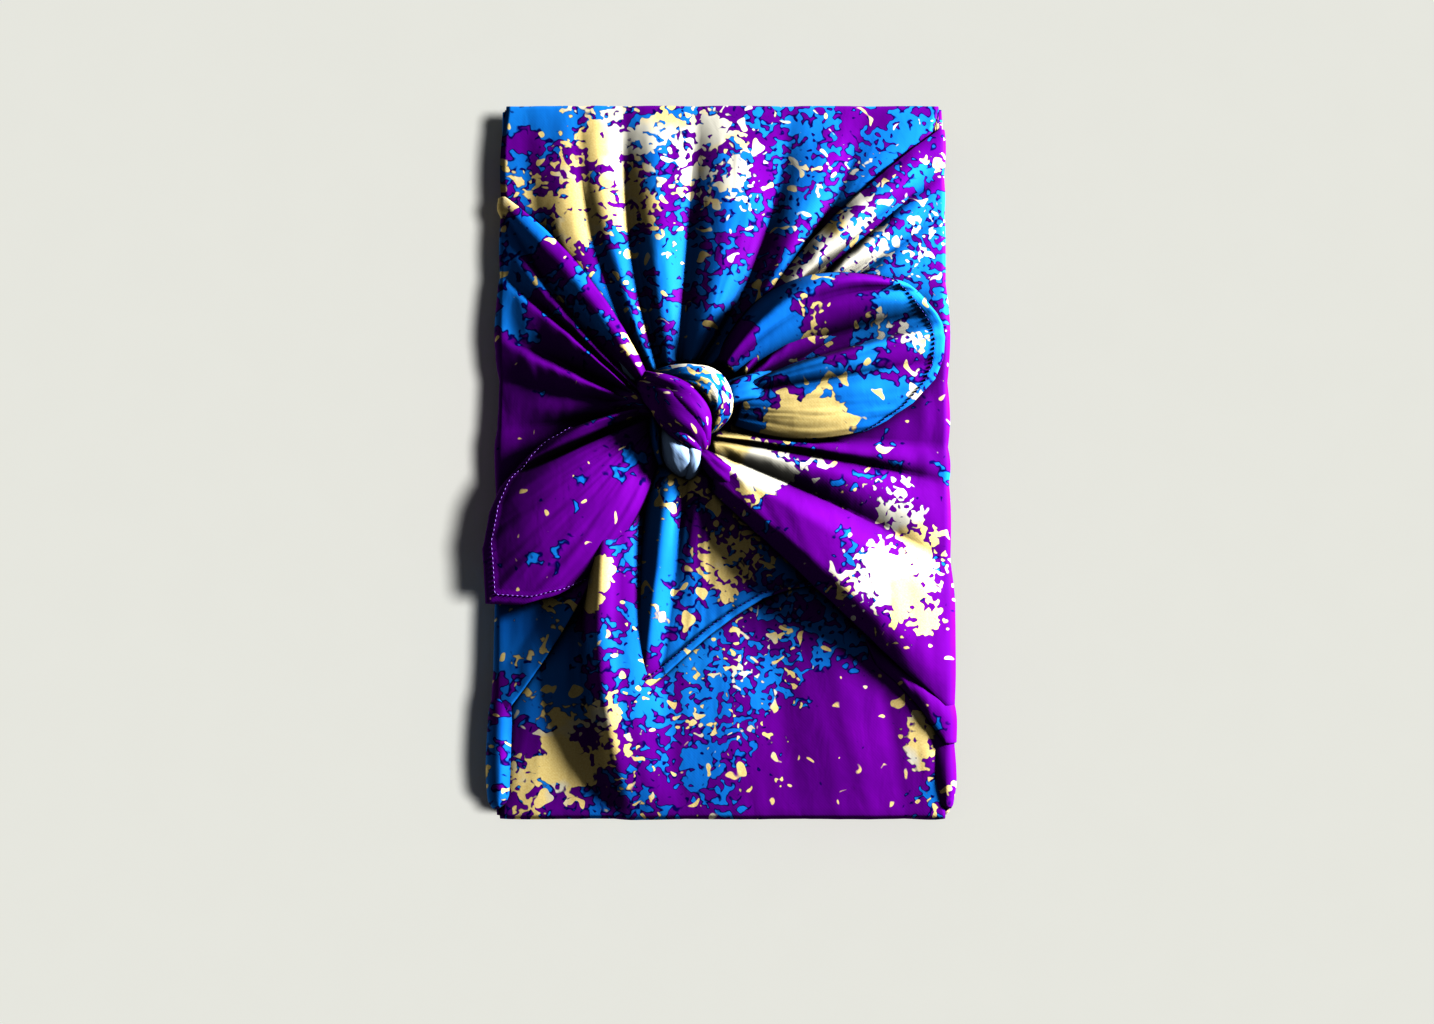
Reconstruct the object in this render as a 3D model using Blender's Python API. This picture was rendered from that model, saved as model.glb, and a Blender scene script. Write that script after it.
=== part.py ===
"""A square cotton cloth tied round a flat gift box.

The cloth is one solid: the layers round the box, the gathered flaps, the knot and its two tails.
The box inside is the other. The parcel lies on its back face, with the knot up.
All sizes below are in millimetres and are turned to metres as the meshes are made.
"""

import math
from collections import namedtuple

import bmesh
import bpy

MM = 0.001

BOX_WIDTH = 264.0
BOX_LENGTH = 423.5
BOX_HEIGHT = 27.0
GAP = 0.3
CLOTH = 1.2
TAIL_CLOTH = 1.6
SHOULDER = 2.0

HALF_WIDTH = BOX_WIDTH / 2 + GAP + CLOTH
HALF_LENGTH = BOX_LENGTH / 2 + GAP + CLOTH
TOP = BOX_HEIGHT + 2 * (GAP + CLOTH)

# A fold of a gathered flap starts at the parcel's edge, where `edge` is its place along that edge, and
# runs to the neck under the knot. `bow` is how far its middle stands to the left of the straight line.
# The lifts are its height over the parcel's top at the edge, the middle and the neck.
Fold = namedtuple("Fold", "edge neck_x neck_y bow edge_lift mid_lift neck_lift")

LEFT_FLAP = (
    Fold(160, -44, 48, 8, 0.6, 4.0, 8.0),
    Fold(157, -45, 46, 8, 2.6, 8.0, 12.0),
    Fold(151, -46, 43, 5, 3.6, 9.5, 14.0),
    Fold(146, -47, 40, -5, 0.8, 3.0, 9.0),
    Fold(127, -48, 37, -3, 2.4, 5.5, 11.0),
    Fold(109, -49, 35, 1, 1.0, 3.6, 10.0),
    Fold(101, -49, 33, 2, 3.0, 7.0, 11.5),
    Fold(72, -49, 31, 1, 3.6, 1.4, 8.0),
    Fold(64, -48, 29, 0, 4.4, 6.5, 11.0),
    Fold(46, -47, 27, 0, 0.4, 4.0, 10.0),
    Fold(30, -46, 25, 0, 1.4, 4.6, 8.0),
    Fold(17, -45, 23, 0, 1.4, 1.8, 3.4),
    Fold(5, -45, 21, 0, 3.6, 2.6, 3.0),
    Fold(-22, -44, 19, 0, 1.6, 2.0, 3.0),
    Fold(-52, -44, 17, 0, 3.2, 5.0, 7.0),
    Fold(-88, -43, 15, -2, 1.6, 3.6, 8.0),
    Fold(-128, -43, 12, -5, 2.2, 5.0, 8.0),
    Fold(-157, -44, 8, -9, 3.4, 8.0, 10.0),
    Fold(-163, -45, 4, -10, 1.4, 3.6, 6.0),
)

TOP_FLAP = (
    Fold(-131, -54, 38, -32, 0.6, 1.0, 5.0),
    Fold(-119, -51, 43, -20, 0.7, 1.0, 6.0),
    Fold(-96, -47, 47, -14, 1.0, 5.6, 8.0),
    Fold(-88, -44, 49, -10, 0.8, 3.4, 7.0),
    Fold(-79, -41, 50, -7, 1.1, 6.6, 9.0),
    Fold(-60, -37, 52, -6, 0.6, 0.9, 5.0),
    Fold(-42, -32, 53, -2, 1.1, 7.6, 9.5),
    Fold(-15, -26, 54, 0, 0.6, 0.9, 5.0),
    Fold(1, -20, 55, 13, 1.1, 7.6, 9.5),
    Fold(40, -14, 54, 12, 0.6, 0.9, 5.0),
    Fold(60, -8, 53, 17, 1.0, 7.0, 9.0),
    Fold(88, -2, 50, 11, 0.6, 1.0, 5.0),
    Fold(114, 2, 46, 5, 0.9, 4.4, 6.0),
    Fold(131, 6, 42, 22, 0.6, 1.0, 4.0),
)

RIGHT_FLAP = (
    Fold(202, 2, 64, -9, 0.6, 3.0, 6.0),
    Fold(199, 4, 62, -9, 2.2, 6.5, 9.0),
    Fold(189, 8, 57, -6, 3.8, 10.0, 11.0),
    Fold(172, 10, 54, -6, 1.0, 2.8, 8.0),
    Fold(159, 12, 50, -6, 2.8, 6.0, 9.0),
    Fold(147, 13, 47, -5, 0.9, 3.2, 8.0),
    Fold(132, 14, 44, -4, 2.6, 5.6, 9.0),
    Fold(105, 14, 40, 0, 1.0, 2.8, 7.0),
    Fold(75, 10, 34, 0, 3.2, 3.4, 5.0),
    Fold(45, 5, 28, 0, 1.2, 1.8, 4.0),
    Fold(24, 0, 22, 0, 2.6, 3.0, 5.0),
    Fold(6, -4, 16, 0, 1.2, 1.8, 4.0),
    Fold(-5, -6, 12, 0, 2.6, 7.6, 8.0),
    Fold(-15, -7, 10, -2, 1.6, 3.4, 6.0),
    Fold(-35, -7, 7, -3, 2.6, 9.0, 9.0),
    Fold(-62, -7, 2, -3, 2.0, 5.4, 8.0),
    Fold(-95, -6, -6, 0, 4.6, 15.0, 12.0),
    Fold(-124, -5, -13, 0, 4.6, 15.0, 12.0),
    Fold(-147, -6, -20, 0, 3.8, 10.5, 9.0),
    Fold(-152, -8, -24, 0, 1.8, 4.0, 5.0),
)

BOTTOM_FLAP = (
    Fold(-131, -125, -120, 0, 0.6, 1.0, 1.0),
    Fold(-118, -110, -105, 0, 1.0, 3.2, 2.6),
    Fold(-98, -97, -92, 0, 0.8, 2.0, 2.0),
    Fold(-78, -86, -70, 4, 0.6, 0.8, 0.8),
    Fold(-64, -79, -46, 11, 0.6, 1.0, 2.2),
    Fold(-54, -69, -38, 10, 1.4, 15.0, 11.0),
    Fold(-42, -60, -34, 9, 1.2, 10.5, 8.0),
    Fold(-22, -46, -32, 4, 0.8, 2.6, 0.7),
    Fold(4, -20, -40, 0, 1.0, 2.6, 0.9),
    Fold(45, 14, -46, 0, 0.7, 1.0, 0.9),
    Fold(85, 50, -60, 0, 1.0, 2.6, 0.9),
    Fold(107, 88, -95, 0, 0.6, 0.9, 0.8),
    Fold(125, 112, -125, 0, 1.2, 2.4, 1.2),
    Fold(131, 126, -140, 0, 0.6, 1.0, 0.8),
)

RIGHT_PLEAT = (
    Fold(-138, 84, -108, 0, 1.2, 2.0, 1.0),
    Fold(-157, 88, -118, -2, 5.0, 5.0, 1.8),
    Fold(-169, 90, -123, -3, 4.6, 4.0, 1.2),
    Fold(-174, 91, -127, -3, 1.6, 1.2, 0.6),
)

# The gathered corners at the parcel's lower end, where the cloth is tucked in round the box.
LEFT_CORNER = (
    Fold(-140, -124, -140, 0, 2.0, 1.6, 0.8),
    Fold(-158, -123, -158, 0, 5.2, 4.6, 1.0),
    Fold(-184, -124, -184, 0, 6.2, 5.2, 1.0),
    Fold(-202, -125, -200, 0, 5.0, 4.0, 0.8),
    Fold(-208, -127, -205, 0, 2.0, 1.4, 0.7),
)

RIGHT_CORNER = (
    Fold(-158, 124, -158, 0, 1.0, 1.0, 0.8),
    Fold(-172, 123, -172, 0, 3.4, 2.6, 0.8),
    Fold(-190, 124, -188, 0, 4.4, 3.2, 1.0),
    Fold(-204, 126, -200, 0, 2.6, 2.0, 0.8),
    Fold(-208, 127, -205, 0, 1.0, 1.0, 0.7),
)

# A ray of a free panel runs from its root, under the knot, to its tip at the hem.
Ray = namedtuple("Ray", "root_x root_y tip_x tip_y bow root_lift mid_lift tip_lift")

FLAP_POINT = (
    Ray(-38, -8, -52, -136, 5, 6.0, 3.0, 2.2),
    Ray(-30, -7, -50, -139, 2, 12.0, 12.0, 4.0),
    Ray(-24, -6, -46, -140, -1, 13.0, 13.0, 4.6),
    Ray(-18, -8, -36, -132, 0, 7.0, 2.6, 4.2),
    Ray(-13, -10, -24, -121, 0, 8.0, 4.8, 4.4),
    Ray(-7, -13, -8, -107, 0, 7.0, 3.8, 4.4),
    Ray(1, -18, 8, -95, 0, 6.0, 3.4, 4.4),
    Ray(11, -28, 24, -85, 0, 5.0, 3.4, 4.2),
    Ray(23, -38, 42, -79, 0, 4.0, 3.2, 3.6),
    Ray(36, -46, 60, -76, 0, 3.6, 3.0, 3.0),
)

LEFT_TAIL = (
    Ray(-39, 31, -92, 15, -1, 6.0, 14.0, 11.5),
    Ray(-41, 29, -107, 6, -1, 10.0, 20.5, 13.0),
    Ray(-42, 27, -116, -2, -1, 9.0, 18.5, 12.5),
    Ray(-42, 24, -125, -11, 0, 4.0, 6.5, 9.5),
    Ray(-43, 21, -133, -23, 0, 9.5, 17.5, 11.5),
    Ray(-43, 18, -141, -56, 0, 9.5, 17.0, 10.5),
    Ray(-43, 15, -139, -88, 2, 9.5, 17.5, 9.0),
    Ray(-42, 12, -118, -89, 4, 10.0, 19.5, 10.5),
    Ray(-40, 8, -97, -83, 7, 11.0, 22.0, 13.0),
    Ray(-37, 4, -84, -76, 9, 7.0, 14.0, 10.0),
)

RIGHT_TAIL = (
    Ray(-6, 55, 96, 107, 24, 7.0, 8.0, 8.0),
    Ray(2, 52, 112, 101, 18, 12.0, 25.0, 14.5),
    Ray(5, 50, 118, 97, 14, 9.0, 12.0, 12.5),
    Ray(9, 46, 127, 88, 9, 6.0, 6.5, 9.5),
    Ray(11, 41, 132, 72, 1, 11.5, 19.5, 14.0),
    Ray(11, 37, 131, 57, -1, 9.5, 13.5, 12.0),
    Ray(10, 33, 126, 45, -3, 10.5, 16.0, 12.5),
    Ray(9, 28, 113, 31, -5, 9.5, 15.0, 11.0),
    Ray(8, 23, 98, 21, -6, 8.0, 12.5, 9.0),
    Ray(6, 18, 86, 15, -7, 6.0, 9.0, 8.0),
)

# A station of a knotted strand: its centre, its height over the parcel's top, its width and its depth.
Station = namedtuple("Station", "x y lift wide deep")

OVER_STRAND = (
    Station(-49, 54, 4, 14, 9),
    Station(-42, 47, 12, 23, 14),
    Station(-34, 39, 19, 29, 18),
    Station(-26, 31, 21, 31, 19),
    Station(-19, 22, 19, 28, 18),
    Station(-15, 13, 12, 20, 14),
    Station(-13, 6, 6, 11, 10),
)
ROUND_STRAND = (
    Station(-36, 52, 4, 12, 10),
    Station(-25, 48, 10, 21, 15),
    Station(-13, 42, 15, 25, 18),
    Station(-6, 34, 15, 25, 18),
    Station(-5, 26, 11, 19, 15),
    Station(-8, 18, 6, 12, 10),
)
TURNED_STRAND = (
    Station(-31, 20, 8, 14, 12),
    Station(-27, 10, 13, 22, 15),
    Station(-24, 1, 13, 24, 15),
    Station(-21, -6, 9, 19, 12),
    Station(-19, -12, 4, 8, 8),
)
LOWER_STRAND = (
    Station(-20, 6, 6, 14, 11),
    Station(-10, -2, 7, 17, 13),
    Station(1, -12, 7, 20, 13),
    Station(14, -22, 6, 22, 11),
)
NECK_STRAND = (
    Station(-66, 33, 4, 26, 8),
    Station(-54, 30, 8, 18, 11),
    Station(-42, 27, 9, 16, 13),
    Station(-28, 25, 9, 16, 13),
)

STRAND_SIDES = 14
STRAND_STEPS = 3
PLEATS = 3
PLEAT_DEPTH = 0.09

HEM_WIDTH = 6.0
HEM_PROUD = 0.7
STEEPEST = 2.0

# The corner fold at the right stands a little open: a narrow pocket that reaches in to the box.
POCKET_Y = -184.0
POCKET_LONG = 14.0
POCKET_WIDE = 3.0
POCKET_LOW = 12.0


def mix(low, high, share):
    return low + (high - low) * share


def through_three(start, middle, end, share):
    """The height at a share of the way, on the curve through three heights."""
    left = (share - 0.5) * (share - 1.0) * 2.0
    centre = share * (1.0 - share) * 4.0
    right = share * (share - 0.5) * 2.0
    return start * left + middle * centre + end * right


def bowed(start, end, bow, share):
    """A point of the plan curve from start to end whose middle stands `bow` to the left."""
    run_x = end[0] - start[0]
    run_y = end[1] - start[1]
    run = math.hypot(run_x, run_y)
    out = 4.0 * bow * share * (1.0 - share) / run
    return start[0] + run_x * share - run_y * out, start[1] + run_y * share + run_x * out


def between(first, second, share):
    """A fold or ray between two neighbours. Crests are round and valleys are sharp."""
    values = []
    for name in first._fields:
        low = getattr(first, name)
        high = getattr(second, name)
        if name.endswith("lift"):
            rise = math.sin(share * math.pi / 2) if high > low else 1.0 - math.cos(share * math.pi / 2)
            values.append(mix(low, high, rise))
        else:
            values.append(mix(low, high, share))
    return type(first)(*values)


def spread(rows, steps):
    """The rows, with steps - 1 more worked out between each two."""
    lines = []
    for first, second in zip(rows, rows[1:]):
        lines += [between(first, second, step / steps) for step in range(steps)]
    return lines + [rows[-1]]


def flap_line(fold, outward, steps, sunk=None):
    """A fold's points, from the foot of the side wall, over the shoulder, to the neck.

    With sunk, the line instead follows the middle of the cloth under it, that far inside.
    """
    out_x, out_y = outward
    reach = HALF_WIDTH if out_x else HALF_LENGTH
    along_x, along_y = abs(out_y), abs(out_x)
    edge_x = out_x * reach + along_x * fold.edge
    edge_y = out_y * reach + along_y * fold.edge
    start = (edge_x - out_x * SHOULDER, edge_y - out_y * SHOULDER)

    def lift(value):
        return value if sunk is None else -sunk

    points = []
    foot = 3.4 if sunk is None else 2.8
    for height, share in ((foot, 0.3), (0.4 * TOP, 0.8), (TOP - SHOULDER, 1.0)):
        proud = SHOULDER + lift(fold.edge_lift * share)
        points.append((start[0] + out_x * proud, start[1] + out_y * proud, height))
    for angle in (45.0, 90.0):
        turn = math.radians(angle)
        proud = SHOULDER + lift(fold.edge_lift)
        out = proud * math.cos(turn)
        height = TOP - SHOULDER + proud * math.sin(turn)
        points.append((start[0] + out_x * out, start[1] + out_y * out, height))
    for step in range(1, steps + 1):
        share = step / steps
        x, y = bowed(start, (fold.neck_x, fold.neck_y), fold.bow, share)
        rise = through_three(fold.edge_lift, fold.mid_lift, fold.neck_lift, share)
        points.append((x, y, TOP + lift(rise)))
    return points


def ray_line(ray, steps, down=0.0):
    """A ray's points from its root to its tip, with the hem a little proud, all lowered by down."""
    start, end = (ray.root_x, ray.root_y), (ray.tip_x, ray.tip_y)
    run = math.hypot(end[0] - start[0], end[1] - start[1])
    hem_starts = 1.0 - HEM_WIDTH / run
    shares = [hem_starts * step / steps for step in range(steps + 1)]
    shares += [mix(hem_starts, 1.0, 0.15), 1.0]
    points = []
    for place, share in enumerate(shares):
        x, y = bowed(start, end, ray.bow, share)
        rise = through_three(ray.root_lift, ray.mid_lift, ray.tip_lift, share)
        proud = HEM_PROUD if place > steps and down <= 0.0 else 0.0
        points.append((x, y, TOP + rise + proud - down))
    return points


def make_object(name, points, faces, material=None):
    mesh = bpy.data.meshes.new(name)
    mesh.from_pydata([tuple(value * MM for value in point) for point in points], [], faces)
    work = bmesh.new()
    work.from_mesh(mesh)
    bmesh.ops.recalc_face_normals(work, faces=work.faces)
    work.to_mesh(mesh)
    work.free()
    obj = bpy.data.objects.new(name, mesh)
    bpy.context.scene.collection.objects.link(obj)
    if material:
        mesh.materials.append(material)
    return obj


def closed_between(name, upper, lower):
    """The closed solid between two grids of points of the same size."""
    rows, columns = len(upper), len(upper[0])
    points = [point for line in upper for point in line] + [point for line in lower for point in line]
    under = rows * columns

    def at(row, column, below=False):
        return row * columns + column + (under if below else 0)

    faces = []
    for row in range(rows - 1):
        for column in range(columns - 1):
            corners = (row, column), (row + 1, column), (row + 1, column + 1), (row, column + 1)
            faces.append([at(*corner) for corner in corners])
            faces.append([at(*corner, below=True) for corner in reversed(corners)])
    rim = [(0, column) for column in range(columns)]
    rim += [(row, columns - 1) for row in range(1, rows)]
    rim += [(rows - 1, column) for column in range(columns - 2, -1, -1)]
    rim += [(row, 0) for row in range(rows - 2, 0, -1)]
    for first, second in zip(rim, rim[1:] + rim[:1]):
        faces.append([at(*first), at(*second), at(*second, below=True), at(*first, below=True)])
    return make_object(name, points, faces)


def flap(name, folds, outward, sunk, steps=7):
    """A gathered flap: its folded top, filled down into the layer that it lies on."""
    lines = spread(folds, 2)
    upper = [flap_line(fold, outward, steps) for fold in lines]
    lower = [flap_line(fold, outward, steps, sunk) for fold in lines]
    return closed_between(name, upper, lower)


def free_panel(name, rays, steps=8):
    """A panel of one cloth's thickness that stands clear of the parcel, measured down more where it is steep."""
    lines = spread(rays, 2)
    upper = [ray_line(ray, steps) for ray in lines]
    lower = [ray_line(ray, steps, TAIL_CLOTH) for ray in lines]
    for place, line in enumerate(lower):
        before, after = upper[max(place - 1, 0)], upper[min(place + 1, len(upper) - 1)]
        for column, (x, y, height) in enumerate(line):
            low, high = before[column], after[column]
            slope = (high[2] - low[2]) / max(1.0, math.dist(low[:2], high[:2]))
            more = TAIL_CLOTH * (min(STEEPEST, math.hypot(1.0, slope)) - 1.0)
            line[column] = (x, y, height - more)
    return closed_between(name, upper, lower)


def lying_panel(name, rays, sunk, steps=8):
    """A panel that lies on the parcel, filled down into the layer under it."""
    lines = spread(rays, 2)
    upper = [ray_line(ray, steps) for ray in lines]
    lower = [[(x, y, TOP - sunk) for x, y, _ in line] for line in upper]
    return closed_between(name, upper, lower)


def strand_stations(stations):
    """The stations, with more worked out between them on a smooth curve."""
    padded = [stations[0], *stations, stations[-1]]
    fine = []
    for place in range(len(stations) - 1):
        before, first, second, after = padded[place : place + 4]
        for step in range(STRAND_STEPS):
            share = step / STRAND_STEPS
            values = []
            for a, b, c, d in zip(before, first, second, after):
                bend = 2 * a - 5 * b + 4 * c - d
                turn = 3 * b - a - 3 * c + d
                values.append(0.5 * (2 * b + (c - a) * share + bend * share**2 + turn * share**3))
            fine.append(Station(*values))
    return fine + [stations[-1]]


def strand(name, stations):
    """A knotted strand: a flattened roll of cloth with pleats along it, as one closed solid."""
    fine = strand_stations(stations)
    rings = []
    for place, station in enumerate(fine):
        before, after = fine[max(place - 1, 0)], fine[min(place + 1, len(fine) - 1)]
        run_x, run_y = after.x - before.x, after.y - before.y
        rise = after.lift - before.lift
        flat = math.hypot(run_x, run_y)
        run = math.hypot(flat, rise)
        side = (-run_y / flat, run_x / flat, 0.0)
        over = (-run_x * rise / (flat * run), -run_y * rise / (flat * run), flat / run)
        ring = []
        for corner in range(STRAND_SIDES):
            turn = 2 * math.pi * corner / STRAND_SIDES
            groove = 1.0 - PLEAT_DEPTH * (1.0 - math.cos(2 * PLEATS * turn)) / 2
            across = math.cos(turn) * groove * station.wide / 2
            upward = math.sin(turn) * groove * station.deep / 2
            centre = (station.x, station.y, TOP + station.lift)
            ring.append(tuple(c + across * s + upward * o for c, s, o in zip(centre, side, over)))
        rings.append(ring)
    points = [point for ring in rings for point in ring]
    faces = [list(range(STRAND_SIDES)), list(range(len(points) - STRAND_SIDES, len(points)))]
    for ring in range(len(rings) - 1):
        for corner in range(STRAND_SIDES):
            following = (corner + 1) % STRAND_SIDES
            low, high = ring * STRAND_SIDES, (ring + 1) * STRAND_SIDES
            faces.append([low + corner, low + following, high + following, high + corner])
    return make_object(name, points, faces)


def block(name, half_width, half_length, low, high, rounding=0.0, material=None):
    """An upright block, with all its edges rounded if asked."""
    signs = ((-1, -1), (1, -1), (1, 1), (-1, 1))
    points = [(x * half_width, y * half_length, z) for z in (low, high) for x, y in signs]
    faces = [(3, 2, 1, 0), (4, 5, 6, 7)]
    faces += [(side, (side + 1) % 4, (side + 1) % 4 + 4, side + 4) for side in range(4)]
    obj = make_object(name, points, faces, material)
    if rounding:
        work = bmesh.new()
        work.from_mesh(obj.data)
        bmesh.ops.bevel(
            work,
            geom=list(work.edges),
            offset=rounding * MM,
            segments=2,
            profile=0.5,
            affect="EDGES",
        )
        work.to_mesh(obj.data)
        work.free()
    return obj


def material(name, colour, roughness, metallic=0.0):
    made = bpy.data.materials.new(name)
    made.use_nodes = True
    shader = made.node_tree.nodes["Principled BSDF"]
    shader.inputs["Base Color"].default_value = (*colour, 1.0)
    shader.inputs["Roughness"].default_value = roughness
    shader.inputs["Metallic"].default_value = metallic
    return made


def combine(body, other, operation, solver="EXACT"):
    """Adds a helper shape to the body, or takes it away, and hides the helper."""
    modifier = body.modifiers.new(f"{operation.lower()} {other.name}", "BOOLEAN")
    modifier.operation = operation
    modifier.solver = solver
    modifier.object = other
    other.hide_render = True
    other.display_type = "WIRE"


def wrap_cloth():
    """The tied cloth, from the layers against the box to the knot and tails."""
    body = block(
        "wrap_cloth",
        HALF_WIDTH,
        HALF_LENGTH,
        0.0,
        TOP,
        rounding=SHOULDER,
        material=material("printed_cotton_sateen", (0.20, 0.0, 0.34), 0.55),
    )
    first = (
        flap("bottom_flap", BOTTOM_FLAP, (0, -1), 0.40),
        flap("top_flap", TOP_FLAP, (0, 1), 0.48),
    )
    # EXACT leaves open edges where the layers from here on cross, so these are joined with MANIFOLD.
    layers = (
        lying_panel("flap_point", FLAP_POINT, 0.56),
        flap("left_corner", LEFT_CORNER, (-1, 0), 0.60, steps=2),
        flap("right_corner", RIGHT_CORNER, (1, 0), 0.52, steps=2),
        flap("right_pleat", RIGHT_PLEAT, (1, 0), 0.64, steps=4),
        flap("left_flap", LEFT_FLAP, (-1, 0), 0.72),
        flap("right_flap", RIGHT_FLAP, (1, 0), 0.80),
    )
    # The knot's strands and the tails cross themselves where they are gathered. EXACT leaves faces
    # inside there, so these are joined with MANIFOLD.
    knotted = (
        strand("neck_strand", NECK_STRAND),
        strand("lower_strand", LOWER_STRAND),
        strand("turned_strand", TURNED_STRAND),
        strand("round_strand", ROUND_STRAND),
        strand("over_strand", OVER_STRAND),
        free_panel("left_tail", LEFT_TAIL),
        free_panel("right_tail", RIGHT_TAIL),
    )
    for layer in first:
        combine(body, layer, "UNION")
    for piece in layers + knotted:
        combine(body, piece, "UNION", "MANIFOLD")
    inside = block(
        "hollow_for_box",
        BOX_WIDTH / 2 + GAP,
        BOX_LENGTH / 2 + GAP,
        CLOTH,
        TOP - CLOTH,
    )
    combine(body, inside, "DIFFERENCE", "MANIFOLD")
    pocket = block("corner_pocket", 6.0, POCKET_WIDE / 2, POCKET_LOW, POCKET_LOW + POCKET_LONG)
    pocket.location = (HALF_WIDTH * MM, POCKET_Y * MM, 0.0)
    combine(body, pocket, "DIFFERENCE", "MANIFOLD")
    return body


def gift_box():
    """The plain carton that the cloth is tied round."""
    return block(
        "gift_box",
        BOX_WIDTH / 2,
        BOX_LENGTH / 2,
        CLOTH + GAP,
        CLOTH + GAP + BOX_HEIGHT,
        material=material("grey_board", (0.55, 0.50, 0.42), 0.85),
    )


def main():
    for obj in list(bpy.data.objects):
        bpy.data.objects.remove(obj)
    wrap_cloth()
    gift_box()


main()
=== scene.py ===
"""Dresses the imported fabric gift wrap: the printed cloth's folds, knot, tails and hems, and the stage."""

import math
from collections import namedtuple

import bpy
import numpy as np
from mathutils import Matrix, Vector, noise


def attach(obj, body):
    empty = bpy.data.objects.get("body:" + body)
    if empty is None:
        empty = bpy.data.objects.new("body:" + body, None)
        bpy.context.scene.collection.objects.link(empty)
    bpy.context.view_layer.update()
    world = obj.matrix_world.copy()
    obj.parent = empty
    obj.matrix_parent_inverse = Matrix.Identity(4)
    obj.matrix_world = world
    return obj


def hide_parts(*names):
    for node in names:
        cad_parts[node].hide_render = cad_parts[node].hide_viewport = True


bl_info = {
    "name": "Knotted gift wrap",
    "version": (1, 0, 0),
    "blender": (4, 5, 0),
    "location": "3D View > Sidebar > Gift wrap",
    "description": "Builds the printed cloth, its stitches and the stage round the packed parcel",
    "category": "Object",
}

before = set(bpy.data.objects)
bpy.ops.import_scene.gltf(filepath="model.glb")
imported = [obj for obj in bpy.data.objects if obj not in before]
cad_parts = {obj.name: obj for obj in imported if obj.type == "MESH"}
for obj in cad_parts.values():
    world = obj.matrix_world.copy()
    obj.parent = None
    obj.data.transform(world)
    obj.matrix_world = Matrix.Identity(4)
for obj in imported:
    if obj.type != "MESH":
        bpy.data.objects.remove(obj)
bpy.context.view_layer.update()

MM = 0.001

BOX_WIDTH = 264.0
BOX_LENGTH = 423.5
BOX_HEIGHT = 27.0
GAP = 0.3
CLOTH = 1.2
SHOULDER = 2.0
HALF_WIDTH = BOX_WIDTH / 2 + GAP + CLOTH
HALF_LENGTH = BOX_LENGTH / 2 + GAP + CLOTH
TOP = BOX_HEIGHT + 2 * (GAP + CLOTH)

# A flap lies this far off the layer below it.
CLEAR = 0.25
# A part's place in the print is this far from the next part's.
PRINT_STEP_X = 600.0
PRINT_STEP_Y = 350.0
# The hem is turned in along these columns of a panel, and is sewn along one of them.
HEM_COLUMNS = (-5, -4, -3, -2)
STITCH_COLUMN = -5
STITCH_RISE = 0.15
THREAD_WIDTH = 0.0007
# The cloth's two sides, as places in its mesh's list of materials.
PRINTED, REVERSE = 0, 1
# The photograph's frame at the parcel's top, in metres: its width and where its middle lies.
FRAME_WIDTH = 0.8545
FRAME_MIDDLE = (-0.0033, -0.0330)
PARCEL_TOP = 0.03
SENSOR_WIDTH = 36.0
# The stage, in metres: half the floor's width, and where the raking light stands and its size.
FLOOR_REACH = 3.0
WINDOW_PLACE = (1.10, 0.42)
WINDOW_SIZE = 0.22

# A fold of a gathered flap starts at the parcel's edge, where `edge` is its place along that edge, and
# runs to the neck under the knot. `bow` is how far its middle stands to the left of the straight line.
# The lifts are its height over the parcel's top at the edge, the middle and the neck.
Fold = namedtuple("Fold", "edge neck_x neck_y bow edge_lift mid_lift neck_lift")

LEFT_FLAP = (
    Fold(157, -45, 46, 8, 2.0, 9.5, 12.0),
    Fold(151, -46, 43, 5, 2.6, 11.5, 14.0),
    Fold(146, -47, 40, -5, 0.4, 3.0, 9.0),
    Fold(127, -48, 37, -3, 1.2, 8.5, 12.0),
    Fold(109, -49, 35, 1, 0.4, 4.2, 10.0),
    Fold(101, -49, 33, 2, 1.8, 10.0, 13.0),
    Fold(72, -49, 31, 1, 3.6, 2.0, 8.0),
    Fold(64, -48, 29, 0, 2.8, 9.5, 12.5),
    Fold(46, -47, 27, 0, 0.2, 5.0, 11.0),
    Fold(30, -46, 25, 0, 0.6, 6.6, 9.0),
    Fold(17, -45, 23, 0, 1.2, 2.6, 4.0),
    Fold(5, -45, 21, 0, 2.8, 4.0, 3.6),
    Fold(-22, -44, 19, 0, 1.6, 2.0, 3.0),
    Fold(-52, -44, 17, 0, 3.2, 5.0, 7.0),
    Fold(-88, -43, 15, -2, 1.6, 3.6, 8.0),
    Fold(-128, -43, 12, -5, 2.2, 5.0, 8.0),
    Fold(-157, -44, 8, -9, 3.4, 8.0, 10.0),
)

TOP_FLAP = (
    Fold(-131, -54, 38, -32, 0.6, 1.0, 5.0),
    Fold(-119, -51, 43, -20, 0.7, 1.0, 6.0),
    Fold(-96, -47, 47, -14, 1.0, 5.6, 8.0),
    Fold(-88, -44, 49, -10, 0.8, 3.4, 7.0),
    Fold(-79, -41, 50, -7, 1.1, 6.6, 9.0),
    Fold(-60, -37, 52, -6, 0.6, 0.9, 5.0),
    Fold(-42, -32, 53, -2, 1.1, 7.6, 9.5),
    Fold(-15, -26, 54, 0, 0.6, 0.9, 5.0),
    Fold(1, -20, 55, 13, 1.1, 7.6, 9.5),
    Fold(40, -14, 54, 12, 0.6, 0.9, 5.0),
    Fold(60, -8, 53, 17, 1.0, 7.0, 9.0),
    Fold(88, -2, 50, 11, 0.6, 1.0, 5.0),
    Fold(114, 2, 46, 5, 0.9, 4.4, 6.0),
    Fold(131, 6, 42, 22, 0.6, 1.0, 4.0),
)

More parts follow.
